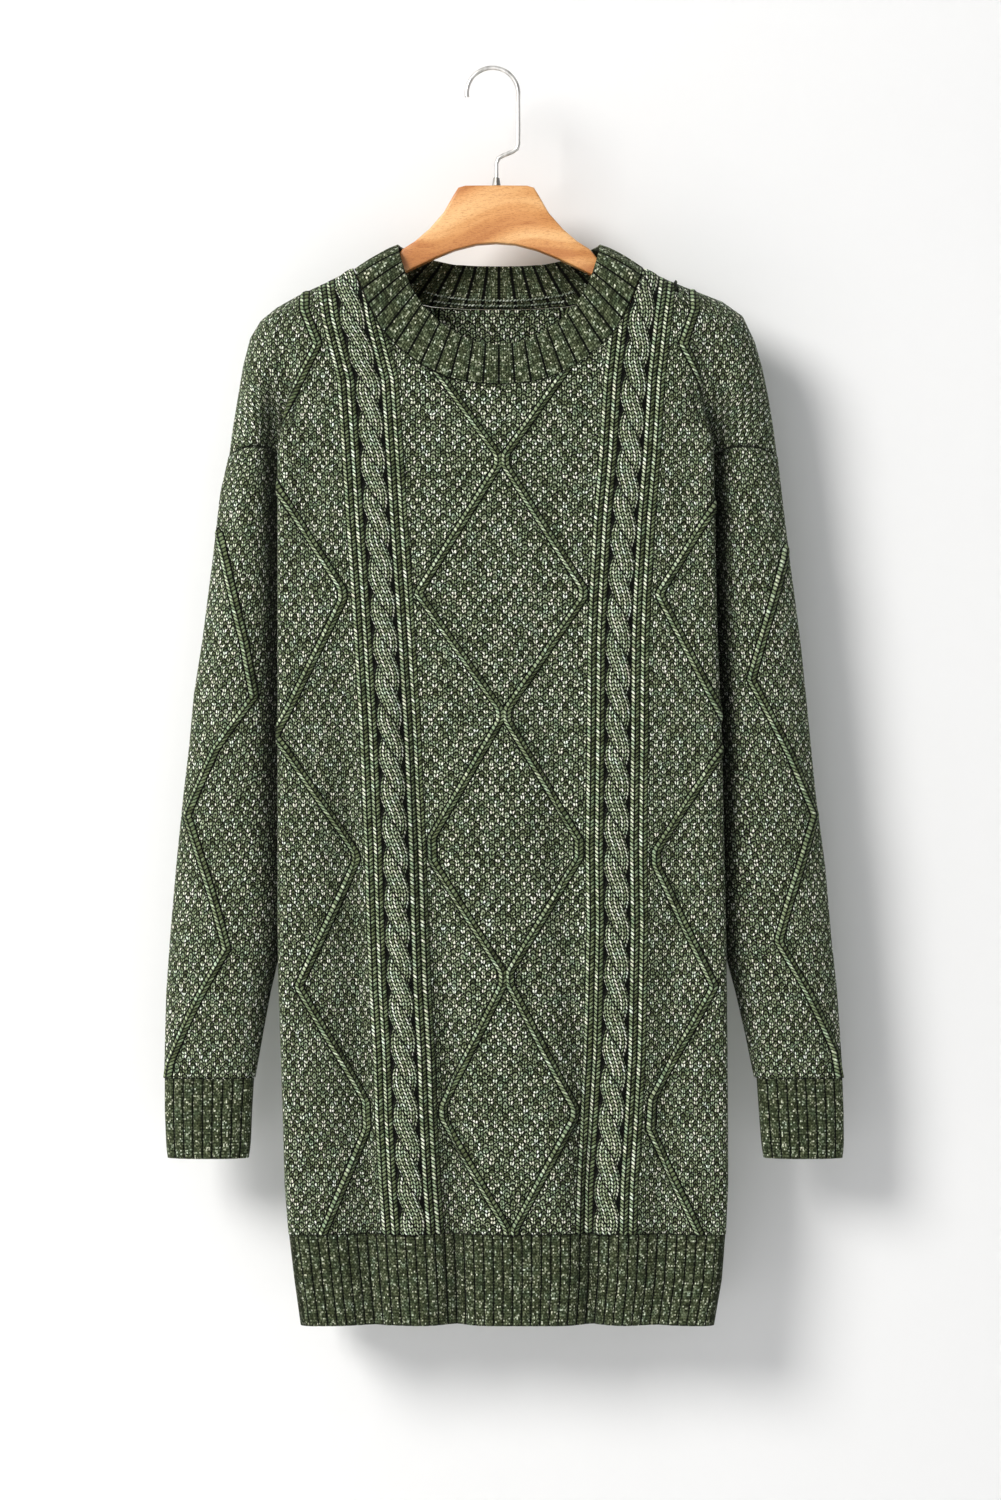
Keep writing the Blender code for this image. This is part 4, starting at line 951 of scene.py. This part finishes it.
def yoke(name, finish):
    """Flat shaped beech board with its edges rounded over."""
    mesh = bmesh.new()
    outline = yoke_outline()
    bmesh.ops.create_circle(mesh, cap_ends=True, segments=len(outline), radius=1.0)
    mesh.verts.ensure_lookup_table()
    order = sorted(mesh.verts, key=lambda vert: -math.atan2(vert.co.y, vert.co.x) % (2 * math.pi))
    for vert, (x, z) in zip(order, outline):
        vert.co = Vector((x, -YOKE_HALF_THICKNESS, z)) * MM
    made = bmesh.ops.extrude_face_region(mesh, geom=list(mesh.faces))
    moved = [item for item in made["geom"] if isinstance(item, bmesh.types.BMVert)]
    bmesh.ops.translate(mesh, verts=moved, vec=(0, 2 * YOKE_HALF_THICKNESS * MM, 0))
    bmesh.ops.recalc_face_normals(mesh, faces=mesh.faces)
    rims = [edge for edge in mesh.edges if abs(edge.verts[0].co.y - edge.verts[1].co.y) < 1e-6]
    bmesh.ops.bevel(mesh, geom=rims, offset=YOKE_EASE * MM, segments=4, profile=0.5, affect='EDGES',
                    material=-1)
    return plain_piece(name, mesh, finish, 30.0)


def swept_wire(name, route, radius, finish):
    """A bent wire of round section along points in the middle plane."""
    mesh = bmesh.new()
    forwards = Vector((0.0, 1.0, 0.0))
    previous = []
    for index, point in enumerate(route):
        before = route[max(index - 1, 0)]
        after = route[min(index + 1, len(route) - 1)]
        across = forwards.cross((after - before).normalized()).normalized()
        ring = bmesh.ops.create_circle(mesh, cap_ends=False, segments=WIRE_SIDES, radius=radius * MM)["verts"]
        for step, vert in enumerate(ring):
            angle = 2 * math.pi * step / WIRE_SIDES
            vert.co = (point + (across * math.cos(angle) + forwards * math.sin(angle)) * radius) * MM
        edges = [edge for edge in mesh.edges if edge.verts[0] in ring and edge.verts[1] in ring]
        if previous:
            bmesh.ops.bridge_loops(mesh, edges=previous + edges)
        previous = edges
    bmesh.ops.holes_fill(mesh, edges=mesh.edges, sides=WIRE_SIDES)
    bmesh.ops.recalc_face_normals(mesh, faces=mesh.faces)
    return plain_piece(name, mesh, finish, 50.0)


def hook_route():
    """Over the rod, down, a short jog back to the middle, and down into the ferrule."""
    centre = HOOK_INNER_RADIUS + WIRE_RADIUS
    points = [(centre * math.cos(math.radians(a)), centre * math.sin(math.radians(a)) - HOOK_INNER_RADIUS)
              for a in range(188, -1, -6)]
    points += [(centre, HOOK_RUN_Z), (centre - 1.0, HOOK_RUN_Z - 3.4), (centre - 4.2, HOOK_RUN_Z - 5.6),
               (STEM_X + 5.5, STEM_TOP_Z + 3.4), (STEM_X + 1.6, STEM_TOP_Z + 1.0), (STEM_X, STEM_TOP_Z - 3.4),
               (STEM_X, YOKE_TOP_Z + 1.0 + FERRULE_HEIGHT)]
    return [Vector((x, 0.0, z)) for x, z in points]


# ---- stitches and colours ----

MOSS_ROW = 5.75
MOSS_COLUMN = 7.8         # a knit and a purl stitch
RIDGE_BAND = 4.3          # from the middle of a ridge to the far side of the groove beside it
RIB_COLUMN = 2.5
FLECK_WIDTH, FLECK_HEIGHT = RIB_COLUMN / 2.4, 1.3
# Painted shade: within this reach, ambient occlusion darkens the cloth's colour
PAINTED_SHADE_REACH = 34.0      # cloth this close shades the hollows between sleeves, folds and body
# The left leg of each knit stitch is painted lighter and the right one darker, as painted light falling from
# the left
KNIT_COLUMNS = {
    "rope": {"Column": 4.2, "Slant": 1.5, "Shade": 0.48, "Uneven": 0.36, "Left leg painted light": 0.12},
    "flank": {"Column": FLANK_RIB, "Slant": 1.8, "Shade": 0.25, "Uneven": 0.44, "Left leg painted light": 0.18},
    "ridge": {"Column": 2 * RIDGE_BAND, "Slant": 2.0, "Shade": 0.2, "Uneven": 0.4, "Left leg painted light": 0.14},
    "rib": {"Column": RIB_COLUMN, "Stitch": 2.2, "Slant": 0.8, "Left leg painted light": 0.0},
}


def srgb(*channels):
    """Linear colour of a screen colour given in 0..255."""
    parts = [channel / 255 for channel in channels]
    return tuple(part / 12.92 if part <= 0.04045 else ((part + 0.055) / 1.055) ** 2.4
                 for part in parts) + (1.0,)


def grey(value):
    return (value, value, value, 1.0)


def greys(*stops):
    return [(position, grey(value)) for position, value in stops]


def colours(*stops):
    return [(position, srgb(*channels)) for position, *channels in stops]


# Tweed yarn from the darkest to the lightest strand, the plainer yarn of the ribs, and their drift in hue
YARN_STOPS = colours((0.0, 62, 70, 50), (0.3, 102, 114, 84), (0.52, 140, 157, 127), (0.7, 178, 194, 166),
                     (0.82, 240, 248, 230), (1.0, 255, 255, 252))
RIB_YARN_STOPS = colours((0.0, 40, 46, 30), (0.35, 62, 71, 50), (0.62, 80, 90, 66), (0.8, 104, 114, 90),
                         (0.92, 150, 160, 136), (1.0, 232, 238, 222))
TINT_STOPS = colours((0.3, 222, 214, 190), (0.5, 248, 246, 230), (0.7, 240, 255, 248))
LINKING_STOPS = colours((0.34, 64, 76, 60), (0.5, 112, 124, 108), (0.66, 190, 196, 184))
PLY_STOPS = colours((0.35, 120, 126, 112), (0.5, 255, 255, 255))
# Beech: broad figure, short rays and pores
FIGURE_STOPS = colours((0.34, 184, 120, 64), (0.45, 206, 147, 88), (0.53, 214, 159, 101),
                       (0.68, 228, 181, 126))
RAY_STOPS = colours((0.3, 206, 170, 132), (0.48, 255, 250, 240))
PORE_STOPS = colours((0.3, 190, 150, 110), (0.45, 255, 255, 255))
# Painted shade in the yarn's colour: darkest down between its stitches, where their height falls. The height
# also falls at the edges of a strand, where strands cross, beside a ridge and towards the groove of a rib,
# which shapes the bump and deepens this painted shade. There is also painted shade where other cloth is near.
RECESS_SHADE_STOPS = greys((0.0, 0.002), (0.32, 0.018), (0.56, 0.5), (0.8, 1.0))
STRAND_EDGE_DROP_AND_SHADE_STOPS = greys((0.0, 0.1), (0.2, 0.44), (0.4, 0.88), (0.6, 1.0))
CROSSING_DROP_AND_SHADE_STOPS = greys((0.0, 0.1), (0.04, 0.5), (0.11, 1.0))
RIDGE_DROP_AND_SHADE_STOPS = greys((0.0, 0.03), (0.13, 0.12), (0.3, 0.9), (1.0, 1.0))
RIB_DROP_AND_SHADE_STOPS = greys((0.0, 0.95), (0.6, 1.0), (0.8, 0.9), (0.91, 0.32), (1.0, 0.06))
OCCLUSION_SHADE_STOPS = greys((0.2, 0.03), (0.48, 0.2), (0.74, 0.74), (0.92, 1.0))


# ---- shading ----

class Value:
    """A result in a material's nodes; each sum done with it adds one Math node to the same tree."""

    def __init__(self, tree, socket):
        self.tree = tree
        self.socket = socket

    def math(self, operation, *others, last=False):
        """One Math node, with this result as its first input or, where last is set, its last one."""
        values = (*others, self) if last else (self, *others)
        return made(self.tree, "Math", dict(enumerate(values)), operation=operation)

    def __add__(self, other):
        return self.math('ADD', other)

    def __sub__(self, other):
        return self.math('SUBTRACT', other)

    def __rsub__(self, other):
        return self.math('SUBTRACT', other, last=True)

    def __mul__(self, other):
        return self.math('MULTIPLY', other)

    def __truediv__(self, other):
        return self.math('DIVIDE', other)

    def scaled(self, factor, shift):
        """The result times a factor, plus a shift."""
        return self.math('MULTIPLY_ADD', factor, shift)

    def clamped(self):
        """The same result, held between 0 and 1."""
        self.socket.node.use_clamp = True
        return self


def connect(node, values):
    """Give each input its constant, or the result that feeds it."""
    for key, value in values.items():
        if isinstance(value, Value):
            value.tree.links.new(value.socket, node.inputs[key])
        else:
            node.inputs[key].default_value = value


def made(tree, kind, values, output=0, **settings):
    """Add a node with its settings and inputs, and give one of its results."""
    node = tree.nodes.new("ShaderNode" + kind)
    for key, value in settings.items():
        setattr(node, key, value)
    connect(node, values)
    return Value(tree, node.outputs[output])


def results(value):
    """All the results of the node that a value comes from, by name."""
    return {socket.name: Value(value.tree, socket) for socket in value.socket.node.outputs}


def new_group(name, inputs, outputs):
    """An effect that materials share, and what it is given; an input without a default is a vector."""
    group = bpy.data.node_groups.new(name, 'ShaderNodeTree')
    for label, default in inputs.items():
        kind = 'NodeSocketVector' if default is None else 'NodeSocketFloat'
        socket = group.interface.new_socket(label, in_out='INPUT', socket_type=kind)
        if default is not None:
            socket.default_value = default
    for label in outputs:
        group.interface.new_socket(label, in_out='OUTPUT', socket_type='NodeSocketFloat')
    return group, {socket.name: Value(group, socket) for socket in group.nodes.new("NodeGroupInput").outputs}


def put_out(group, values):
    connect(group.nodes.new("NodeGroupOutput"), values)
    return group


def use_group(tree, group, values):
    return results(made(tree, "Group", values, node_tree=group))


def ramp(value, stops):
    """Colour for a value, from a table of stops."""
    result = made(value.tree, "ValToRGB", {0: value})
    elements = result.socket.node.color_ramp.elements
    while len(elements) < len(stops):
        elements.new(0.5)
    for element, (position, colour) in zip(elements, stops):
        element.position = position
        element.color = colour
    return result


def wave(value):
    """A hump over each unit of value: 0 at the whole numbers, 1 half way."""
    part = value.math('FRACT').scaled(2.0, -1.0)
    return (1.0 - part * part).clamped()


def vector(x, y):
    return made(x.tree, "CombineXYZ", {0: x, 1: y})


def split(place_at):
    parts = results(made(place_at.tree, "SeparateXYZ", {0: place_at}))
    return parts["X"], parts["Y"]


def mix(share, first, second):
    return made(share.tree, "Mix", {0: share, 2: first, 3: second})


def multiplied(share, first, second):
    """The first colour, multiplied by the second one to the given share."""
    return made(first.tree, "Mix", {0: share, 6: first, 7: second}, 2, data_type='RGBA',
                blend_type='MULTIPLY')


def chance(x, y):
    """A random number from 0 to 1 for each pair of whole numbers."""
    return made(x.tree, "TexWhiteNoise", {0: vector(x, y)}, noise_dimensions='2D')


def noise(place_at, detail=2.0, distortion=0.0, scale=1.0, output="Fac"):
    return made(place_at.tree, "TexNoise", {"Vector": place_at, "Scale": scale, "Detail": detail,
                                            "Distortion": distortion}, output)


def mapped(place_at, scale, turn=0.0):
    """The place on a piece, turned in the board's plane and stretched."""
    return made(place_at.tree, "Mapping", {"Vector": place_at, "Rotation": (0.0, turn, 0.0), "Scale": scale})


def vector_math(operation, first, second):
    return made(first.tree, "VectorMath", {0: first, 1: second}, operation=operation)


def bumped(height, strength, distance):
    """Normal that a height in millimetres of relief gives."""
    return made(height.tree, "Bump", {"Strength": strength, "Distance": distance * MM, "Height": height})


def wandering(place_at, amount, scale):
    """Stitch rows wander a little, as hand-steamed knitting does."""
    bend = vector_math('SUBTRACT', noise(place_at, 1.0, scale=scale, output="Color"), (0.5, 0.5, 0.5))
    return vector_math('ADD', place_at, vector_math('MULTIPLY', bend, (amount, amount, 0.0)))


def moss_group():
    """Moss stitch: knit Vs and purl arches in turn along a row, and shifted by one in the next row."""
    group, given = new_group("moss_stitch", {"Vector": None}, ("Height", "Strand"))
    across, along = split(wandering(wandering(given["Vector"], 2.6, 0.12), 1.3, 0.4))
    column, row = across / (MOSS_COLUMN / 2), along / MOSS_ROW
    number = column.math('FLOOR')
    purl = (number + row.math('FLOOR')).math('FLOORED_MODULO', 2.0)
    centre = column.math('FRACT') - 0.5
    spread = centre.math('ABSOLUTE')
    knit_rise = spread.scaled(-0.9, row * 2.0)
    knit = wave(spread * 2.0) * wave(knit_rise)
    arch = (centre * centre).scaled(3.2, row * 2.0)
    arches = wave(arch) * (1.0 - (spread * 2.0).math('POWER', 5.0)).clamped()
    knit_chance = chance(number + centre.math('SIGN') * 0.25, knit_rise.math('FLOOR'))
    purl_chance = chance(number, arch.math('FLOOR'))
    strand = mix(purl, knit_chance.scaled(0.62, 0.38), purl_chance.scaled(0.55, 0.15))
    return put_out(group, {"Height": mix(purl, knit, arches * 0.62), "Strand": strand})


def knit_group():
    """Columns of V stitches.  Vector in millimetres, Column the width of one column, Stitch its height."""
    group, given = new_group("knit_columns", {
        "Vector": None, "Column": 2.8, "Stitch": 3.0, "Slant": 1.0, "Shade": 0.35, "Uneven": 0.3,
        "Left leg painted light": 0.1, "Seed": 0.0}, ("Height", "Strand"))
    across, along = split(given["Vector"])
    column = across / given["Column"]
    centre = column.math('FRACT') - 0.5
    side, spread = centre.math('SIGN'), centre.math('ABSOLUTE')
    rise = along / given["Stitch"] - spread * given["Slant"]
    number = side.scaled(0.25, column.math('FLOOR')) + given["Seed"]
    shade = chance(number, rise.math('FLOOR')).scaled(given["Uneven"], given["Shade"])
    # Painted light: the left leg's strand is lighter and the right leg's darker, as if lit from the left
    return put_out(group, {"Height": wave(spread * 2.0) * wave(rise),
                           "Strand": shade - side * given["Left leg painted light"]})


def strand_group():
    """Height of one strand of a cable at a distance from its middle."""
    group, given = new_group("cable_strand", {"Across": 0.0, "Lift": 0.0, "Over": 0.0}, ("Height",))
    share = given["Across"] / STRAND_HALF_WIDTH
    rounded = (1.0 - share * share).clamped().math('SQRT')
    return put_out(group, {"Height": rounded * given["Lift"].scaled(given["Over"], STRAND_LIFT)})


def attributes(tree, *names):
    return (made(tree, "Attribute", {}, "Fac", attribute_name=name) for name in names)


def inside(value, limit, soft=0.3):
    """1 where the value is under the limit, falling to 0 just past it."""
    return made(value.tree, "MapRange", {0: value, 1: limit - soft, 2: limit + soft, 3: 1.0, 4: 0.0})


def knit_columns(groups, kind, x, along, seed=0.0):
    """Columns of knit stitches of one kind, with x in millimetres across them."""
    return use_group(x.tree, groups["knit"], {"Vector": vector(x, along), "Seed": seed, **KNIT_COLUMNS[kind]})


def rope_pattern(groups, from_cable, along, half):
    """Height and strand of a rope cable: two strands that cross over each other once in every pitch."""
    angle = (along / -CABLE_PITCH).math('FLOORED_MODULO', 1.0) * math.pi
    swing, over = angle.math('COSINE') * STRAND_SWING, angle.math('SINE')
    across = from_cable + swing, from_cable - swing
    strands = [use_group(along.tree, groups["strand"], {"Across": place_at, "Lift": lift, "Over": over})
               for place_at, lift in zip(across, (FRONT_LIFT, BEHIND_LIFT))]
    front, behind = (strand["Height"] for strand in strands)
    on_top = front.math('GREATER_THAN', behind)
    knit = knit_columns(groups, "rope", mix(on_top, across[1], across[0]), along, on_top.scaled(40.0, half))
    # Relief and painted shade: the height drops at a strand's edges and where the strands cross, which bumps
    # the surface and darkens the colour there
    outline = ramp(front.math('MAXIMUM', behind), STRAND_EDGE_DROP_AND_SHADE_STOPS)
    crossing_drop_and_shade = ramp((front - behind).math('ABSOLUTE'), CROSSING_DROP_AND_SHADE_STOPS)
    return knit["Height"] * outline * crossing_drop_and_shade, knit["Strand"]


def body_pattern(tree, groups):
    """Height of the stitches of a panel or sleeve, which also sets their painted shade, and which strand of
    the tweed shows in each, with the left legs of knit stitches painted lighter as painted light.
    """
    across, along, from_cable, near_cable, from_ridge, near_ridge = attributes(
        tree, "across", "along", "from_cable", "near_cable", "from_ridge", "near_ridge")
    place_at = vector(across, along)
    moss = use_group(tree, groups["moss"], {"Vector": place_at})
    half = across.math('SIGN') * 200.0
    side = from_cable.math('SIGN')
    beside = (near_cable - CABLE_HALF_WIDTH) * side
    flank = knit_columns(groups, "flank", beside, along, side.scaled(90.0, half))
    ridge = knit_columns(groups, "ridge", from_ridge + RIDGE_BAND, along)
    # Relief and painted shade: the height drops in the grooves beside a ridge, which bumps the surface and
    # darkens the colour there
    ridge_drop_and_shade = ramp((RIDGE_BAND - near_ridge) / RIDGE_BAND, RIDGE_DROP_AND_SHADE_STOPS)
    ridge_height = ridge["Height"].scaled(0.86, 0.14) * ridge_drop_and_shade
    height, strand = moss["Height"], moss["Strand"]
    for share, layer_height, layer_strand in (
            (inside(near_ridge, RIDGE_BAND, 0.15), ridge_height, ridge["Strand"]),
            (inside(near_cable, FLANK), flank["Height"], flank["Strand"]),
            (inside(near_cable, CABLE_HALF_WIDTH), *rope_pattern(groups, from_cable, along, half))):
        height = mix(share, height, layer_height)
        strand = mix(share, strand, layer_strand)
    return height, strand, place_at


def rib_pattern(tree, groups):
    """Height of the ribs' stitches, falling away into the grooves with painted shade there, and the flecks of
    their plainer yarn.
    """
    across, along, rib = attributes(tree, "across", "along", "rib")
    knit = knit_columns(groups, "rib", rib.scaled(1.5 * RIB_COLUMN, 0.5 * RIB_COLUMN), along)
    fleck = chance((across / FLECK_WIDTH).math('FLOOR'), (along / FLECK_HEIGHT).math('FLOOR'))
    # Relief and painted shade: the height drops towards each groove, which bumps the surface and darkens the
    # colour there
    return knit["Height"].scaled(0.55, 0.45) * ramp(rib, RIB_DROP_AND_SHADE_STOPS), fleck, vector(across, along)


def new_material(name):
    material = bpy.data.materials.new(name)
    material.use_nodes = True
    return material, material.node_tree, material.node_tree.nodes["Principled BSDF"]


def place_on(tree):
    return made(tree, "TexCoord", {}, "Object")


def cloth_material(name, groups, pattern, stops, marled):
    """Knit cloth from a pattern of stitches, each in its own tone of the yarn, with painted shade between
    them and where other cloth is near.
    """
    material, tree, shader = new_material(name)
    height, strand, place_at = pattern(tree, groups)
    yarn = ramp(strand + noise(place_at, scale=0.7).scaled(marled, -marled / 2), stops)
    tinted = multiplied(0.7, yarn, ramp(noise(place_at, scale=0.11), TINT_STOPS))
    # Painted shade: ambient occlusion darkens the base colour in the hollows between sleeves, folds and body
    occlusion_shade = made(tree, "AmbientOcclusion", {"Distance": PAINTED_SHADE_REACH * MM}, "AO", samples=6)
    # Painted shade: the colour darkens where the stitch height falls, down between the stitches
    shaded = multiplied(1.0, multiplied(1.0, tinted, ramp(height, RECESS_SHADE_STOPS)), ramp(occlusion_shade, OCCLUSION_SHADE_STOPS))
    connect(shader, {"Base Color": shaded, "Normal": bumped(height, 0.8, 0.9), "Roughness": 0.93,
                     "Specular IOR Level": 0.1, "Sheen Weight": 0.1, "Sheen Roughness": 0.5,
                     "Sheen Tint": srgb(190, 200, 178)})
    return material


def beech_material():
    """Steamed beech: broad curved figure, fine short rays, and a satin lacquer."""
    material, tree, shader = new_material("beech_wood")
    place_at = place_on(tree)
    bow = made(tree, "CombineXYZ", {2: noise(place_at, 0.0, scale=9.0) * 0.09})
    figure = noise(mapped(vector_math('ADD', place_at, bow), (7.0, 10.0, 62.0), math.radians(24)), 3.0, 0.4)
    rays = noise(mapped(place_at, (330.0, 900.0, 1700.0)), 1.0)
    pores = noise(mapped(place_at, (700.0, 2200.0, 3600.0), math.radians(8)), 1.0)
    rayed = multiplied(0.5, ramp(figure, FIGURE_STOPS), ramp(rays, RAY_STOPS))
    connect(shader, {"Base Color": multiplied(0.4, rayed, ramp(pores, PORE_STOPS)),
                     "Roughness": rays.scaled(0.16, 0.34), "Normal": bumped(rays, 0.25, 0.12),
                     "Coat Weight": 0.12, "Coat Roughness": 0.3})
    return material


def metal_material(name, bright, dull, roughness):
    """Plated steel with faint drawing marks and a little tarnish."""
    material, tree, shader = new_material(name)
    place_at = place_on(tree)
    tarnish = noise(mapped(place_at, (180.0, 180.0, 60.0)), 3.0)
    marks = noise(mapped(place_at, (2600.0, 2600.0, 240.0)), 1.0)
    connect(shader, {"Base Color": ramp(tarnish, [(0.35, dull), (0.62, bright)]), "Metallic": 1.0,
                     "Roughness": tarnish * 0.16 + marks.scaled(0.12, roughness),
                     "Normal": bumped(marks, 0.2, 0.03)})
    return material


def linking_material():
    """Twisted yarn of the linked seam at the back neck."""
    material, tree, shader = new_material("linking_yarn")
    place_at = place_on(tree)
    shade = noise(mapped(place_at, (330.0, 330.0, 330.0)), 1.0)
    ply = noise(mapped(place_at, (900.0, 900.0, 2600.0), math.radians(35)), 1.0)
    connect(shader, {"Base Color": multiplied(0.6, ramp(shade, LINKING_STOPS), ramp(ply, PLY_STOPS)),
                     "Roughness": 0.85, "Normal": bumped(ply, 0.6, 0.2)})
    return material


# ---- room ----

def plane(name, corners, finish):
    mesh = bmesh.new()
    bmesh.ops.create_grid(mesh, x_segments=1, y_segments=1, size=1.0)
    for vert in mesh.verts:
        index = (1 if vert.co.x > 0 else 0) + (2 if vert.co.y > 0 else 0)
        vert.co = Vector(corners[index])
    plain_piece(name, mesh, finish, 30.0)


def plaster_material(name, shade, see_through_from_behind):
    """Matt pale paint with a faint roller texture."""
    material, tree, shader = new_material(name)
    mottle = noise(mapped(place_on(tree), (2.0, 2.0, 2.0)))
    connect(shader, {"Base Color": ramp(mottle, [(0.3, grey(shade * 0.985)), (0.7, grey(shade))]),
                     "Roughness": 0.9})
    if see_through_from_behind:
        behind = made(tree, "NewGeometry", {}, "Backfacing")
        to_lamp = made(tree, "LightPath", {}, "Is Shadow Ray")
        either = made(tree, "MixShader", {
            0: behind.math('MAXIMUM', to_lamp), 1: Value(tree, shader.outputs[0]),
            2: made(tree, "BsdfTransparent", {})})
        connect(tree.nodes["Material Output"], {"Surface": either})
    return material


def lamp(name, place_at, target, size, power, colour):
    data = bpy.data.lights.new(name, 'AREA')
    data.shape = 'DISK'
    data.size = size
    data.energy = power
    data.color = colour
    item = bpy.data.objects.new(name, data)
    item.location = place_at
    item.rotation_euler = (Vector(target) - Vector(place_at)).to_track_quat('-Z', 'Y').to_euler()
    bpy.context.scene.collection.objects.link(item)


def room():
    """Pale wall close behind the dress, pale floor, and soft lamps: the wall lets the rear lamp through."""
    ends = (-ROOM_HALF_WIDTH, ROOM_HALF_WIDTH)
    plane("backdrop", [(x, WALL_Y, z) for z in (FLOOR_Z, WALL_TOP_Z) for x in ends],
          plaster_material("pale_wall", 0.775, True))
    plane("floor", [(x, y, FLOOR_Z) for y in ends for x in ends], plaster_material("pale_floor", 0.8, False))
    for settings in LAMPS:
        lamp(*settings)
    world = bpy.data.worlds.new("room")
    world.use_nodes = True
    connect(world.node_tree.nodes["Background"], {"Color": (0.95, 0.97, 1.0, 1.0), "Strength": 0.36})
    bpy.context.scene.world = world


def camera():
    data = bpy.data.cameras.new("camera")
    data.sensor_fit = 'VERTICAL'
    data.sensor_height = 36.0
    data.lens = data.sensor_height * CAMERA_DISTANCE / VIEW_HEIGHT
    item = bpy.data.objects.new("camera", data)
    item.location = (CAMERA_X, -CAMERA_DISTANCE, CAMERA_Z)
    item.rotation_euler = (math.radians(90), 0.0, 0.0)
    bpy.context.scene.collection.objects.link(item)
    bpy.context.scene.camera = item


def main():
    bpy.context.scene.view_settings.view_transform = 'Standard'
    groups = {"moss": moss_group(), "knit": knit_group(), "strand": strand_group()}
    knit = cloth_material("tweed_knit", groups, body_pattern, YARN_STOPS, 0.8)
    rib = cloth_material("tweed_rib", groups, rib_pattern, RIB_YARN_STOPS, 0.4)
    wire = metal_material("drawn_wire", srgb(232, 230, 226), srgb(186, 184, 180), 0.3)
    for node, piece, slot in (
            ("front_panel", body_panel("dress_front", True, knit), "green_knit"),
            ("back_panel", body_panel("dress_back", False, knit), "green_knit"),
            ("hem_front", hem("front_hem", True, rib), "green_rib"),
            ("hem_back", hem("back_hem", False, rib), "green_rib"),
            ("sleeve_left", sleeve("left_sleeve", -1, knit), "green_knit"),
            ("sleeve_right", sleeve("right_sleeve", 1, knit), "green_knit"),
            ("cuff_left", cuff("left_cuff", -1, rib), "green_rib"),
            ("cuff_right", cuff("right_cuff", 1, rib), "green_rib"),
            ("collar", collar("neckband", rib), "green_rib"),
            (None, neck_stitches("neck_linking", linking_material()), "green_rib"),
            ("hanger_yoke", yoke("hanger_board", beech_material()), "beech"),
            ("hanger_hook", swept_wire("bent_hook", hook_route(), WIRE_RADIUS, wire), "nickel_wire")):
        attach(piece, "root")
        if node:
            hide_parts(node)
    plating = metal_material("ferrule_plating", srgb(176, 172, 166), srgb(120, 116, 110), 0.3)
    for slot in bpy.data.objects["hook_ferrule"].material_slots:
        slot.material = plating
    room()
    camera()


main()
